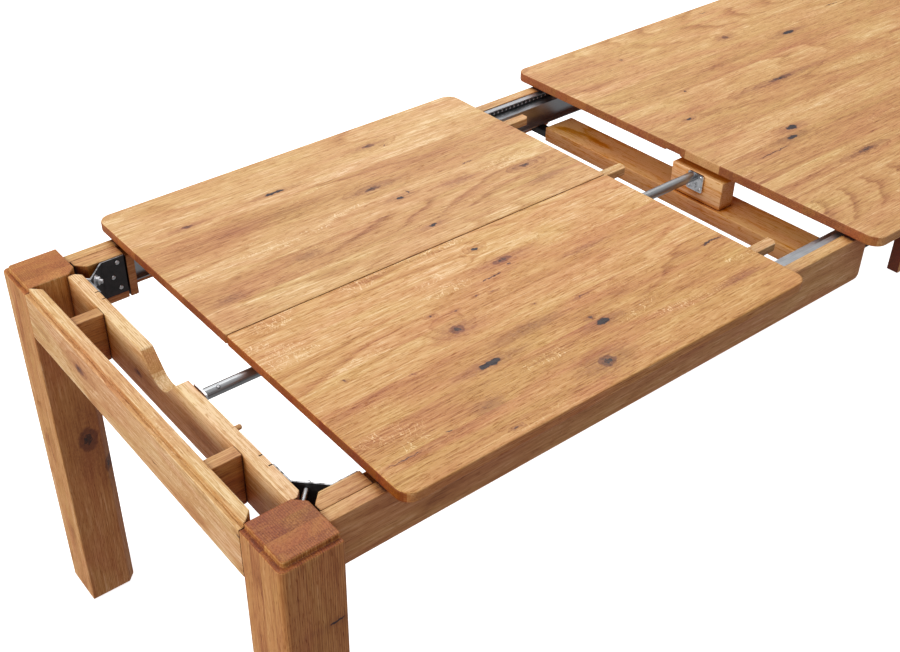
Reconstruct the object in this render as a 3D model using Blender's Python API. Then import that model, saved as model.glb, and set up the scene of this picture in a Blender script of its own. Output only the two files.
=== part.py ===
"""Extending oak dining table, pulled out, with its folding leaf laid across the gap.

Metres, +Z up, floor at z = 0. X runs along the table: the pull-out leg frame is at -X and the
fixed top at +X. Y runs across it, with the near side at -Y. The origin is on the floor, under
the middle of the table's outline. Shapes are drawn in table coordinates, whose X is measured
from the left end of the frame, and add_object shifts them to the origin.
"""
import math

import bmesh
import bpy
from mathutils import Vector

# ---------------------------------------------------------------- driving dimensions (metres)
GAP = 0.0003                      # clearance between pieces that touch
CUTTER_REACH = 0.010              # how far a cutter stands out of what it cuts
SHORTEST_UPRIGHT = 0.05           # shorter upright edges are not a board's corners
SMOOTH_ANGLE = math.radians(35)   # faces that meet flatter than this are shaded as one
ROUNDED_ANGLE = math.radians(40)  # edges sharper than this are rounded

TOP_LENGTH = 1.600                # fixed top, along X
TOP_WIDTH = 0.900                 # fixed top and leaf, along Y
TOP_THICKNESS = 0.019
TOP_UNDERSIDE = 0.7565            # underside of the fixed top and of the leaf
TOP_CORNER_RADIUS = 0.024
TOP_ARC_STEPS = 8
TOP_EDGE_ROUND = 0.0026
SEAM_CORNER_RADIUS = 0.005
TOP_OVERHANG = 0.010              # top past the outer faces of the legs

LEG_SIZE = 0.098
LEG_HEIGHT = 0.756
LEG_OUTER_RADIUS = 0.010
LEG_CAP_RADIUS = 0.006
LEG_ARC_STEPS = 5
LEG_INNER_CHAMFER = 0.0165
REBATE = 0.0085                   # shadow gap round the outer top edge, width and depth
WOOD_EDGE = 0.0014                # small round on every board edge
LEG_EDGE = 0.0020

APRON_BOTTOM = 0.660
BOARD_TOP = 0.752                 # top of the boards that the leaf passes over
END_APRON_THICKNESS = 0.0275
END_APRON_CHAMFER = 0.016
CROSS_BOARD_LEFT = 0.078          # inner board of the pull-out end
CROSS_BOARD_THICKNESS = 0.023
CROSS_BOARD_CHAMFER = 0.010
SPACER_WIDTH = 0.0235
SPACER_CENTRE_Y = 0.2135
GRIP_HALF_WIDTH = 0.0565          # hand grip cut into the inner board
GRIP_BOTTOM_RADIUS = 0.037
GRIP_LIP_RADIUS = 0.007
GRIP_CENTRE_Y = 0.022
KERF_WIDTH = 0.0022               # two saw cuts near each end of the inner board
KERF_DEPTH = 0.007
KERF_PLACES_Y = (0.241, 0.266)

SIDE_BOARD_OUTER_Y = 0.405
SIDE_BOARD_INNER_Y = 0.3812
SIDE_BOARD_END = 1.237
SIDE_BOARD_RADIUS = 0.010
CORNER_BOARD_INNER_Y = 0.3495
CORNER_BOARD_END = 0.187
CORNER_BOARD_CHAMFER = 0.018
STOP_BLOCK_START = 0.190
STOP_BLOCK_LENGTH = 0.0155
STOP_BLOCK_TOP = 0.7445

TOP_LEFT_EDGE = 1.193             # left edge of the fixed top
LEAF_LEFT_EDGE = 0.188
LEAF_LENGTH = 0.819
SEAM_GAP = 0.0010                 # between the leaf's two panels
FOLD_CLEARANCE = 0.0004           # fold axis above the leaf's surface
BATTEN_WIDTH = 0.021
BATTEN_THICKNESS = 0.0157
BATTEN_LENGTH = 0.230
BATTEN_REACH = 0.080              # past the leaf's right edge
BATTEN_CLIP = 0.007
NEAR_BATTEN_Y = -0.320
CENTER_BATTEN_Y = 0.028
FAR_BATTEN_Y = 0.3015
HINGE_RADIUS = 0.0055             # barrel hinges hidden in the seam
HINGE_DEPTH = 0.020
HINGE_FROM_END = 0.150
HINGE_SIDES = 16

MAIN_SIDE_THICKNESS = 0.0215
MAIN_SIDE_START = 1.302
MAIN_RAIL_START = 1.405           # rails under the fixed top that carry the slides
MAIN_RAIL_END = 2.500
MAIN_RAIL_BOTTOM = 0.722
MAIN_RAIL_THICKNESS = 0.0215
LATCH_NOTCH_Y = 0.0015            # finger notch under the fixed top's left edge
LATCH_NOTCH_WIDTH = 0.036
LATCH_NOTCH_HEIGHT = 0.0034
LATCH_NOTCH_LENGTH = 0.0045

TUBE_RADIUS = 0.0095
TUBE_WALL = 0.0015
TUBE_Y = -0.060
TUBE_Z = 0.735
FLANGE_Y = -0.068                 # the tube sits off the middle of its square flanges
LEFT_FLANGE_Z = 0.7365
RIGHT_FLANGE_Z = 0.7265
FLANGE_HALF_SIZE = 0.0185
FLANGE_CORNER_RADIUS = 0.004
FLANGE_THICKNESS = 0.003
TUBE_BLOCK_FACE = 1.187
TUBE_BLOCK_BACK = 1.225
TUBE_BLOCK_TOP = 0.7455
TUBE_BLOCK_WIDTH = 0.122
TUBE_BLOCK_CENTRE_Y = -0.0685
BEARING_HALF_WIDTH = 0.015
BEARING_LENGTH = 0.036
BEARING_BOTTOM = 0.7195
BEARING_FROM_END = 0.135

BEAM_START = 1.180                # flat beam that ties the ends of the side boards
BEAM_END = 1.2565
BEAM_TOP = 0.688
BEAM_BOTTOM = 0.6565
BEAM_HALF_SPAN = 0.335
END_BLOCK_START = 1.184           # black blocks that hang the beam from the side boards
END_BLOCK_END = 1.2075
END_BLOCK_BOTTOM = 0.661
END_BLOCK_TOP = 0.6745

SLIDE_TOP = 0.750                 # telescopic slides, three members deep
SLIDE_BOTTOM = 0.675
SLIDE_METAL = 0.002
SLIDE_LEFT = 0.206
SLIDE_LENGTH = 1.029
SLIDE_DEPTH = 0.0355              # from the side board to the back of the inner member
CHANNEL_DEPTH = 0.0125            # outer and inner members
MIDDLE_START = 0.0045             # middle member, from the side board
MIDDLE_END = 0.032
SLIDE_TRAVEL = 1.193              # table fully closed to fully pulled out
RACE = 0.0107                     # ball race between an outer and a middle member
CAGE_HEIGHT = 0.006
CAGE_WEB = 0.001
CAGE_LIP_INSET = 0.0012
CAGE_START = 0.809
CAGE_LENGTH = 0.420

BRACKET_METAL = 0.0025
BRACKET_BOTTOM = 0.676
BRACKET_TOP = 0.750
BRACKET_FLANGE = 0.0435
PULLOUT_STANDOFF = 0.0405         # corner to bend, along each board
MAIN_STANDOFF = 0.142
BOLT_RADIUS = 0.004
BOLT_Z = 0.737
BOLT_IN_LEG = 0.030
BOLT_PAST_WEB = 0.014
NUT_FLATS = 0.0065
NUT_THICKNESS = 0.0065
ROUND_SIDES = 24
BOLT_SIDES = 16

# ---------------------------------------------------------------- derived places
TABLE_LENGTH = TOP_LEFT_EDGE + TOP_LENGTH
ORIGIN_X = TABLE_LENGTH / 2
TOP_SURFACE = TOP_UNDERSIDE + TOP_THICKNESS
HALF_TOP = TOP_WIDTH / 2
FRAME_HALF = HALF_TOP - TOP_OVERHANG
LEG_INNER_Y = FRAME_HALF - LEG_SIZE
REBATE_Z = LEG_HEIGHT - REBATE
LEAF_RIGHT_EDGE = LEAF_LEFT_EDGE + LEAF_LENGTH
CROSS_BOARD_RIGHT = CROSS_BOARD_LEFT + CROSS_BOARD_THICKNESS
FRAME_RIGHT = TABLE_LENGTH - TOP_OVERHANG
MAIN_APRON_INNER_X = FRAME_RIGHT - END_APRON_THICKNESS
MAIN_SIDE_INNER_Y = FRAME_HALF - MAIN_SIDE_THICKNESS
SLIDE_CENTRE_Z = (SLIDE_TOP + SLIDE_BOTTOM) / 2
INNER_SLIDE_LEFT = SLIDE_LEFT + SLIDE_TRAVEL
MIDDLE_SLIDE_LEFT = SLIDE_LEFT + SLIDE_TRAVEL / 2
FOLD_AXIS_Z = TOP_SURFACE + FOLD_CLEARANCE
SIDES = {"near": -1, "far": 1}

WOOD = {"color": (0.60, 0.36, 0.17), "roughness": 0.45, "metallic": 0.0}
LEG_WOOD = {"color": (0.47, 0.24, 0.11), "roughness": 0.50, "metallic": 0.0}
STEEL = {"color": (0.55, 0.56, 0.57), "roughness": 0.30, "metallic": 1.0}
CHROME = {"color": (0.80, 0.80, 0.82), "roughness": 0.12, "metallic": 1.0}
BLACK_STEEL = {"color": (0.02, 0.02, 0.022), "roughness": 0.40, "metallic": 0.6}
BLACK_PLASTIC = {"color": (0.015, 0.015, 0.015), "roughness": 0.50, "metallic": 0.0}


# ---------------------------------------------------------------- shared modelling helpers
def clear_scene():
    for item in list(bpy.data.objects):
        bpy.data.objects.remove(item, do_unlink=True)


def make_material(name, look):
    material = bpy.data.materials.new(name)
    material.use_nodes = True
    shader = material.node_tree.nodes["Principled BSDF"]
    shader.inputs["Base Color"].default_value = (*look["color"], 1.0)
    shader.inputs["Roughness"].default_value = look["roughness"]
    shader.inputs["Metallic"].default_value = look["metallic"]
    return material


def add_object(name, data, look, parent=None, smooth=False):
    """Turn a bmesh drawn in table coordinates into an object with its own material."""
    bmesh.ops.translate(data, verts=data.verts, vec=Vector((-ORIGIN_X, 0.0, 0.0)))
    bmesh.ops.recalc_face_normals(data, faces=data.faces)
    mesh = bpy.data.meshes.new(name)
    data.to_mesh(mesh)
    data.free()
    if smooth:
        mesh.shade_smooth()
        mesh.set_sharp_from_angle(angle=SMOOTH_ANGLE)
    item = bpy.data.objects.new(name, mesh)
    bpy.context.scene.collection.objects.link(item)
    if look is None:
        item.hide_render = True
        item.display_type = "WIRE"
    else:
        mesh.materials.append(make_material(name, look))
    if parent is not None:
        item.parent = parent
        item.matrix_parent_inverse = parent.matrix_world.inverted()
    return item


def add_axis(name, x, y, z):
    """An empty on a joint's axis. The pieces that move on it are parented to it."""
    axis = bpy.data.objects.new(name, None)
    axis.location = (x - ORIGIN_X, y, z)
    bpy.context.scene.collection.objects.link(axis)
    bpy.context.view_layer.update()
    return axis


def round_edges(item, width):
    """Round every edge of a board that is sharper than its curved outline."""
    bevel = item.modifiers.new("edges", "BEVEL")
    bevel.width = width
    bevel.segments = 2
    bevel.limit_method = "ANGLE"
    bevel.angle_limit = ROUNDED_ANGLE


def cut(item, cutter):
    boolean = item.modifiers.new("cut", "BOOLEAN")
    boolean.operation = "DIFFERENCE"
    boolean.object = cutter


def axis_point(along, value, a, b):
    """A point from its place along one axis and its place across the other two, in order."""
    if along == "x":
        return (value, a, b)
    if along == "y":
        return (a, value, b)
    return (a, b, value)


def prism(outline, along, low, high):
    """Extrude a flat outline along one axis."""
    data = bmesh.new()
    ring = [data.verts.new(axis_point(along, low, a, b)) for a, b in outline]
    face = data.faces.new(ring)
    moved = bmesh.ops.extrude_face_region(data, geom=[face])
    verts = [part for part in moved["geom"] if isinstance(part, bmesh.types.BMVert)]
    step = Vector(axis_point(along, high - low, 0.0, 0.0))
    bmesh.ops.translate(data, verts=verts, vec=step)
    return data


def rectangle(a_low, b_low, a_high, b_high):
    return [(a_low, b_low), (a_high, b_low), (a_high, b_high), (a_low, b_high)]


def box(x, y, z):
    """A block between two places on each axis."""
    return prism(rectangle(x[0], y[0], x[1], y[1]), "z", z[0], z[1])


def side_span(side, inner, outer):
    """Lowest and highest Y between two distances from the centre line."""
    return sorted((SIDES[side] * inner, SIDES[side] * outer))


def round_corner(before, corner, after, radius, steps):
    """Points of an arc that rounds one corner of an outline."""
    to_before = (Vector(before) - Vector(corner)).normalized()
    to_after = (Vector(after) - Vector(corner)).normalized()
    half_angle = to_before.angle(to_after) / 2
    start = Vector(corner) + to_before * (radius / math.tan(half_angle))
    middle = (to_before + to_after).normalized() * (radius / math.sin(half_angle))
    center = Vector(corner) + middle
    turn = math.pi - 2 * half_angle
    sign = 1 if to_before.cross(to_after) < 0 else -1
    spoke = start - center
    points = []
    for step in range(steps + 1):
        angle = sign * turn * step / steps
        cosine, sine = math.cos(angle), math.sin(angle)
        points.append((center.x + spoke.x * cosine - spoke.y * sine,
                       center.y + spoke.x * sine + spoke.y * cosine))
    return points


def rounded(corners):
    """An outline from corners (a, b, radius, steps). One step makes a chamfer."""
    points = []
    for index, (a, b, radius, steps) in enumerate(corners):
        if radius == 0:
            points.append((a, b))
            continue
        before = corners[index - 1][:2]
        after = corners[(index + 1) % len(corners)][:2]
        points += round_corner(before, (a, b), after, radius, steps)
    return points


def circle(center, radius, count=ROUND_SIDES):
    """Points round a circle, starting half a step in."""
    points = []
    for step in range(count):
        angle = 2 * math.pi * (step + 0.5) / count
        points.append((center[0] + radius * math.cos(angle), center[1] + radius * math.sin(angle)))
    return points


def regular(center, half_flats, sides, count=ROUND_SIDES):
    """Points round a regular polygon, as many as round a circle."""
    points = []
    for step in range(count):
        angle = 2 * math.pi * (step + 0.5) / count
        wedge = 2 * math.pi / sides
        from_flat = (angle + wedge / 2) % wedge - wedge / 2
        reach = half_flats / math.cos(from_flat)
        points.append((center[0] + reach * math.cos(angle), center[1] + reach * math.sin(angle)))
    return points


def ring_solid(sections):
    """A ring-shaped solid through closed sections, the last joined to the first."""
    data = bmesh.new()
    rings = [[data.verts.new(point) for point in section] for section in sections]
    count = len(sections[0])
    for index, ring in enumerate(rings):
        following = rings[(index + 1) % len(rings)]
        for step in range(count):
            ahead = (step + 1) % count
            data.faces.new((ring[step], ring[ahead], following[ahead], following[step]))
    return data


def along_x(outline, x):
    return [(x, a, b) for a, b in outline]


# ---------------------------------------------------------------- tops and leaf
def table_board(x_low, x_high, y_low, y_high, radii):
    """A top panel. Radii run round from its left near corner."""
    places = ((x_low, y_low), (x_high, y_low), (x_high, y_high), (x_low, y_high))
    corners = [(x, y, radius, TOP_ARC_STEPS) for (x, y), radius in zip(places, radii)]
    return prism(rounded(corners), "z", TOP_UNDERSIDE, TOP_SURFACE)


def build_main_top():
    radii = [TOP_CORNER_RADIUS] * 4
    top = add_object("main_top", table_board(TOP_LEFT_EDGE, TABLE_LENGTH, -HALF_TOP, HALF_TOP, radii),
                     WOOD)
    low = LATCH_NOTCH_Y - LATCH_NOTCH_WIDTH / 2
    notch = box((TOP_LEFT_EDGE - CUTTER_REACH, TOP_LEFT_EDGE + LATCH_NOTCH_LENGTH),
                (low, low + LATCH_NOTCH_WIDTH),
                (TOP_UNDERSIDE - CUTTER_REACH, TOP_UNDERSIDE + LATCH_NOTCH_HEIGHT))
    cut(top, add_object("latch_notch_cutter", notch, None))
    round_edges(top, TOP_EDGE_ROUND)


def hinge_places():
    return {"left": LEAF_LEFT_EDGE + HINGE_FROM_END, "right": LEAF_RIGHT_EDGE - HINGE_FROM_END}


def build_hinge_cutters():
    cutters = []
    for place, x in hinge_places().items():
        outline = circle((x, TOP_UNDERSIDE + TOP_THICKNESS / 2), HINGE_RADIUS + GAP, HINGE_SIDES)
        depth = HINGE_DEPTH + GAP
        cutters.append(add_object(f"hinge_bore_{place}_cutter", prism(outline, "y", -depth, depth), None))
    return cutters


def build_leaf_panel(half, parent, cutters):
    low, high = side_span(half, SEAM_GAP / 2, HALF_TOP)
    outer = TOP_CORNER_RADIUS
    seam = SEAM_CORNER_RADIUS
    radii = (outer, outer, seam, seam) if half == "near" else (seam, seam, outer, outer)
    data = table_board(LEAF_LEFT_EDGE, LEAF_RIGHT_EDGE, low, high, radii)
    panel = add_object(f"leaf_{half}_half", data, WOOD, parent)
    round_edges(panel, TOP_EDGE_ROUND)
    for cutter in cutters:
        cut(panel, cutter)
    for place, x in hinge_places().items():
        outline = circle((x, TOP_UNDERSIDE + TOP_THICKNESS / 2), HINGE_RADIUS, HINGE_SIDES)
        y_low, y_high = side_span(half, SEAM_GAP / 2 + GAP, HINGE_DEPTH)
        barrel = prism(outline, "y", y_low, y_high)
        add_object(f"seam_hinge_{place}_{half}_half", barrel, STEEL, parent, smooth=True)


def build_batten(name, centre_y, parent):
    """A tongue under the leaf that reaches out below the fixed top."""
    right = LEAF_RIGHT_EDGE + BATTEN_REACH
    left = right - BATTEN_LENGTH
    low = centre_y - BATTEN_WIDTH / 2
    high = centre_y + BATTEN_WIDTH / 2
    corners = [(left, low, 0, 0), (right, low, BATTEN_CLIP, 1), (right, high, 0, 0), (left, high, 0, 0)]
    top = TOP_UNDERSIDE - GAP
    data = prism(rounded(corners), "z", top - BATTEN_THICKNESS, top)
    round_edges(add_object(name, data, WOOD, parent), WOOD_EDGE)


def bearing_section(x):
    """Outline of a bearing block, with as many points as the bore in it."""
    points = []
    for a, b in regular((0.0, 0.0), 1.0, 4):
        reach = TOP_UNDERSIDE - GAP - TUBE_Z if b > 0 else TUBE_Z - BEARING_BOTTOM
        points.append((x, TUBE_Y + a * BEARING_HALF_WIDTH, TUBE_Z + b * reach))
    return points


def build_bearings(parent):
    """Blocks under the leaf that turn and slide on the tube."""
    bore = circle((TUBE_Y, TUBE_Z), TUBE_RADIUS + GAP)
    starts = {"left": LEAF_LEFT_EDGE + BEARING_FROM_END,
              "right": LEAF_RIGHT_EDGE - BEARING_FROM_END - BEARING_LENGTH}
    for place, start in starts.items():
        end = start + BEARING_LENGTH
        sections = [along_x(bore, start), bearing_section(start), bearing_section(end),
                    along_x(bore, end)]
        add_object(f"leaf_bearing_{place}", ring_solid(sections), BLACK_PLASTIC, parent)


def build_leaf(leaf_axis, fold_axis):
    cutters = build_hinge_cutters()
    build_leaf_panel("near", leaf_axis, cutters)
    build_leaf_panel("far", fold_axis, cutters)
    build_batten("leaf_batten_near", NEAR_BATTEN_Y, leaf_axis)
    build_batten("leaf_batten_center", CENTER_BATTEN_Y, fold_axis)
    build_batten("leaf_batten_far", FAR_BATTEN_Y, fold_axis)
    build_bearings(leaf_axis)


# ---------------------------------------------------------------- legs and aprons
def leg_data(outer_x, direction, side):
    """A square leg. Its outer corner is round, its inner corner cut off, and a step runs round
    the two outer faces at the top."""
    ends = ((LEG_SIZE, 0), (0, LEG_SIZE))
    cap_ends = ((LEG_SIZE, REBATE), (REBATE, LEG_SIZE))
    inner = [(LEG_SIZE, LEG_SIZE - LEG_INNER_CHAMFER), (LEG_SIZE - LEG_INNER_CHAMFER, LEG_SIZE)]
    full_arc = round_corner(ends[1], (0, 0), ends[0], LEG_OUTER_RADIUS, LEG_ARC_STEPS)
    cap_arc = round_corner(cap_ends[1], (REBATE, REBATE), cap_ends[0], LEG_CAP_RADIUS, LEG_ARC_STEPS)
    data = bmesh.new()

    def ring(points, z):
        return [data.verts.new((outer_x + direction * u, SIDES[side] * (FRAME_HALF - v), z))
                for u, v in points]

    outer = [ends[1]] + full_arc + [ends[0]]
    inset = [cap_ends[1]] + cap_arc + [cap_ends[0]]
    foot = ring(outer, 0.0)
    step = ring(outer, REBATE_Z)
    shoulder = ring(inset, REBATE_Z)
    head = ring(inset, LEG_HEIGHT)
    foot_inner = ring(inner, 0.0)
    head_inner = ring(inner, LEG_HEIGHT)
    for index in range(len(outer) - 1):
        ahead = index + 1
        data.faces.new((foot[index], foot[ahead], step[ahead], step[index]))
        data.faces.new((step[index], step[ahead], shoulder[ahead], shoulder[index]))
        data.faces.new((shoulder[index], shoulder[ahead], head[ahead], head[index]))
    data.faces.new((foot[-1], foot_inner[0], head_inner[0], head[-1], shoulder[-1], step[-1]))
    data.faces.new((foot_inner[0], foot_inner[1], head_inner[1], head_inner[0]))
    data.faces.new((foot_inner[1], foot[0], step[0], shoulder[0], head[0], head_inner[1]))
    data.faces.new(foot + foot_inner)
    data.faces.new(head + head_inner)
    return data


def build_leg(name, outer_x, direction, side, bolt_cutter, parent):
    leg = add_object(name, leg_data(outer_x, direction, side), LEG_WOOD, parent)
    round_edges(leg, LEG_EDGE)
    cut(leg, bolt_cutter)


def rebated_profile(outer, inner):
    """Apron section: stepped on the outer top edge. Outer and inner are its two faces."""
    step = outer + math.copysign(REBATE, inner - outer)
    return [(outer, APRON_BOTTOM), (inner, APRON_BOTTOM), (inner, LEG_HEIGHT), (step, LEG_HEIGHT),
            (step, REBATE_Z), (outer, REBATE_Z)]


def chamfer_upright_edges(data, face_x, size):
    """Cut the two upright end edges of one face of a board."""
    picked = []
    for edge in data.edges:
        ends = [vert.co for vert in edge.verts]
        upright = abs(ends[0].z - ends[1].z) > SHORTEST_UPRIGHT
        if upright and all(abs(end.x - face_x) < GAP for end in ends):
            picked.append(edge)
    bmesh.ops.bevel(data, geom=picked, offset=size, segments=1, affect="EDGES", profile=0.5)


def build_end_apron(name, outer_x, inner_x, parent):
    length = LEG_INNER_Y - GAP
    data = prism(rebated_profile(outer_x, inner_x), "y", -length, length)
    chamfer_upright_edges(data, inner_x, END_APRON_CHAMFER)
    round_edges(add_object(name, data, WOOD, parent), WOOD_EDGE)


def build_main_side_apron(side):
    outline = rebated_profile(SIDES[side] * FRAME_HALF, SIDES[side] * MAIN_SIDE_INNER_Y)
    data = prism(outline, "x", MAIN_SIDE_START, FRAME_RIGHT - LEG_SIZE - GAP)
    round_edges(add_object(f"main_side_apron_{side}", data, WOOD), WOOD_EDGE)


# ---------------------------------------------------------------- corner joints
class Corner:
    """Where two boards meet behind a leg. u runs along the side board, v across the table."""

    def __init__(self, x, y, direction, side, standoff):
        self.x = x
        self.y = y
        self.direction = direction
        self.side = side
        self.standoff = standoff

    def place(self, u, v):
        return (self.x + self.direction * u, SIDES[self.side] * (self.y - v))

    def leg_middle(self):
        """Middle of the leg's cut inner corner, as (u, v)."""
        leg_x = LEG_SIZE if self.direction > 0 else FRAME_RIGHT - LEG_SIZE
        half = LEG_INNER_CHAMFER / 2
        return ((leg_x - self.x) * self.direction - half, self.y - LEG_INNER_Y - half)

    def web_distance(self):
        """Distance along the bolt from the leg to the bracket's web."""
        u, v = self.leg_middle()
        return (self.standoff + GAP * 2 - u - v) / math.sqrt(2)


def bolt_frame(corner):
    """Start of the bolt's axis on the leg, its direction, and a level direction across it."""
    start = corner.place(*corner.leg_middle())
    ahead = corner.place(*[value + 1.0 for value in corner.leg_middle()])
    axis = Vector((ahead[0] - start[0], ahead[1] - start[1], 0.0)).normalized()
    return Vector((*start, BOLT_Z)), axis, Vector((-axis.y, axis.x, 0.0))


def bolt_section(corner, outline, distance):
    start, axis, across = bolt_frame(corner)
    up = Vector((0.0, 0.0, 1.0))
    return [tuple(start + axis * distance + across * a + up * b) for a, b in outline]


def bolt_rod(corner, radius, low, high):
    """A round bar on the bolt's axis, as a closed solid."""
    data = bmesh.new()
    outline = circle((0.0, 0.0), radius, BOLT_SIDES)
    face = data.faces.new([data.verts.new(p) for p in bolt_section(corner, outline, low)])
    moved = bmesh.ops.extrude_face_region(data, geom=[face])
    verts = [part for part in moved["geom"] if isinstance(part, bmesh.types.BMVert)]
    bmesh.ops.translate(data, verts=verts, vec=bolt_frame(corner)[1] * (high - low))
    return data


def bracket_outline(corner):
    """Bent plate seen from above: a flange on each board and a web across the corner."""
    bend = corner.standoff
    reach = bend + BRACKET_FLANGE
    front = BRACKET_METAL
    front_bend = bend + BRACKET_METAL * (math.sqrt(2) - 1)
    path = [(reach, 0), (bend, 0), (0, bend), (0, reach),
            (front, reach), (front, front_bend), (front_bend, front), (reach, front)]
    return [corner.place(u + GAP, v + GAP) for u, v in path]


def build_corner(prefix, side, corner, parent):
    """Bracket, hanger bolt and nut of one corner. Gives back the cutter of the bolt's hole."""
    web = corner.web_distance()
    through = web + BRACKET_METAL + BOLT_PAST_WEB
    hole = bolt_rod(corner, BOLT_RADIUS + GAP, -BOLT_IN_LEG - GAP, through + GAP)
    cutter = add_object(f"{prefix}_bolt_hole_{side}_cutter", hole, None)
    plate = prism(bracket_outline(corner), "z", BRACKET_BOTTOM, BRACKET_TOP)
    bracket = add_object(f"{prefix}_corner_bracket_{side}", plate, BLACK_STEEL, parent)
    cut(bracket, cutter)
    bolt = bolt_rod(corner, BOLT_RADIUS, -BOLT_IN_LEG, through)
    add_object(f"{prefix}_hanger_bolt_{side}", bolt, STEEL, parent, smooth=True)
    near_face = web + BRACKET_METAL + GAP
    hole_outline = circle((0.0, 0.0), BOLT_RADIUS + GAP)
    nut_outline = regular((0.0, 0.0), NUT_FLATS, 6)
    outlines = ((hole_outline, near_face), (nut_outline, near_face),
                (nut_outline, near_face + NUT_THICKNESS), (hole_outline, near_face + NUT_THICKNESS))
    nut = ring_solid([bolt_section(corner, outline, place) for outline, place in outlines])
    add_object(f"{prefix}_bolt_nut_{side}", nut, STEEL, parent)
    return cutter


# ---------------------------------------------------------------- pull-out frame
def grip_outline():
    """Inner board seen along X, with the hand grip in its top edge."""
    half = LEG_INNER_Y - GAP
    lip = GRIP_HALF_WIDTH
    bottom = BOARD_TOP - lip
    corners = [
        (-half, APRON_BOTTOM, 0, 0),
        (half, APRON_BOTTOM, 0, 0),
        (half, BOARD_TOP, 0, 0),
        (GRIP_CENTRE_Y + lip, BOARD_TOP, GRIP_LIP_RADIUS, 3),
        (GRIP_CENTRE_Y, bottom, GRIP_BOTTOM_RADIUS, 8),
        (GRIP_CENTRE_Y - lip, BOARD_TOP, GRIP_LIP_RADIUS, 3),
        (-half, BOARD_TOP, 0, 0),
    ]
    return rounded(corners)


def build_cross_board(parent):
    data = prism(grip_outline(), "x", CROSS_BOARD_LEFT, CROSS_BOARD_RIGHT)
    chamfer_upright_edges(data, CROSS_BOARD_RIGHT, CROSS_BOARD_CHAMFER)
    board = add_object("pullout_cross_board", data, WOOD, parent)
    round_edges(board, WOOD_EDGE)
    for side in SIDES:
        for number, place in enumerate(KERF_PLACES_Y):
            kerf = box((CROSS_BOARD_RIGHT - KERF_DEPTH, CROSS_BOARD_RIGHT + CUTTER_REACH),
                       side_span(side, place, place + KERF_WIDTH),
                       (BOARD_TOP - KERF_DEPTH * 2, BOARD_TOP + CUTTER_REACH))
            cut(board, add_object(f"kerf_{side}_{number}_cutter", kerf, None))


def build_spacer(side, parent):
    data = box((END_APRON_THICKNESS + GAP, CROSS_BOARD_LEFT - GAP),
               side_span(side, SPACER_CENTRE_Y - SPACER_WIDTH / 2, SPACER_CENTRE_Y + SPACER_WIDTH / 2),
               (APRON_BOTTOM, BOARD_TOP))
    round_edges(add_object(f"pullout_spacer_{side}", data, WOOD, parent), WOOD_EDGE)


def build_side_boards(side, parent):
    """Long board, the shorter board inside it, and the block behind the slide's end."""
    start = LEG_SIZE + GAP
    corners = [(start, APRON_BOTTOM, 0, 0), (SIDE_BOARD_END, APRON_BOTTOM, SIDE_BOARD_RADIUS, 4),
               (SIDE_BOARD_END, BOARD_TOP, 0, 0), (start, BOARD_TOP, 0, 0)]
    low, high = side_span(side, SIDE_BOARD_INNER_Y, SIDE_BOARD_OUTER_Y)
    data = prism(rounded(corners), "y", low, high)
    round_edges(add_object(f"pullout_side_board_{side}", data, WOOD, parent), WOOD_EDGE)

    left = CROSS_BOARD_RIGHT + GAP
    inner = SIDES[side] * CORNER_BOARD_INNER_Y
    outer = SIDES[side] * (SIDE_BOARD_INNER_Y - GAP)
    plan = [(left, inner, CORNER_BOARD_CHAMFER, 1), (CORNER_BOARD_END, inner, 0, 0),
            (CORNER_BOARD_END, outer, 0, 0), (left, outer, 0, 0)]
    data = prism(rounded(plan), "z", APRON_BOTTOM, BOARD_TOP)
    round_edges(add_object(f"pullout_corner_board_{side}", data, WOOD, parent), WOOD_EDGE)

    data = box((STOP_BLOCK_START, STOP_BLOCK_START + STOP_BLOCK_LENGTH),
               side_span(side, CORNER_BOARD_INNER_Y, SIDE_BOARD_INNER_Y - GAP),
               (APRON_BOTTOM, STOP_BLOCK_TOP))
    round_edges(add_object(f"pullout_stop_block_{side}", data, WOOD, parent), WOOD_EDGE)


def build_cross_beam(parent):
    """Flat beam across the frame's open end, and the two blocks that hold it."""
    beam = box((BEAM_START, BEAM_END), (-BEAM_HALF_SPAN, BEAM_HALF_SPAN), (BEAM_BOTTOM, BEAM_TOP))
    round_edges(add_object("cross_beam", beam, WOOD, parent), WOOD_EDGE)
    for side in SIDES:
        block = box((END_BLOCK_START, END_BLOCK_END),
                    side_span(side, BEAM_HALF_SPAN + GAP, SIDE_BOARD_INNER_Y - GAP),
                    (END_BLOCK_BOTTOM, END_BLOCK_TOP))
        add_object(f"beam_end_block_{side}", block, BLACK_PLASTIC, parent)


def build_tube_block(parent):
    """Block on the beam that holds the right end of the tube."""
    low = TUBE_BLOCK_CENTRE_Y - TUBE_BLOCK_WIDTH / 2
    data = box((TUBE_BLOCK_FACE, TUBE_BLOCK_BACK), (low, low + TUBE_BLOCK_WIDTH),
               (BEAM_TOP + GAP, TUBE_BLOCK_TOP))
    round_edges(add_object("tube_block", data, WOOD, parent), WOOD_EDGE)


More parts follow.
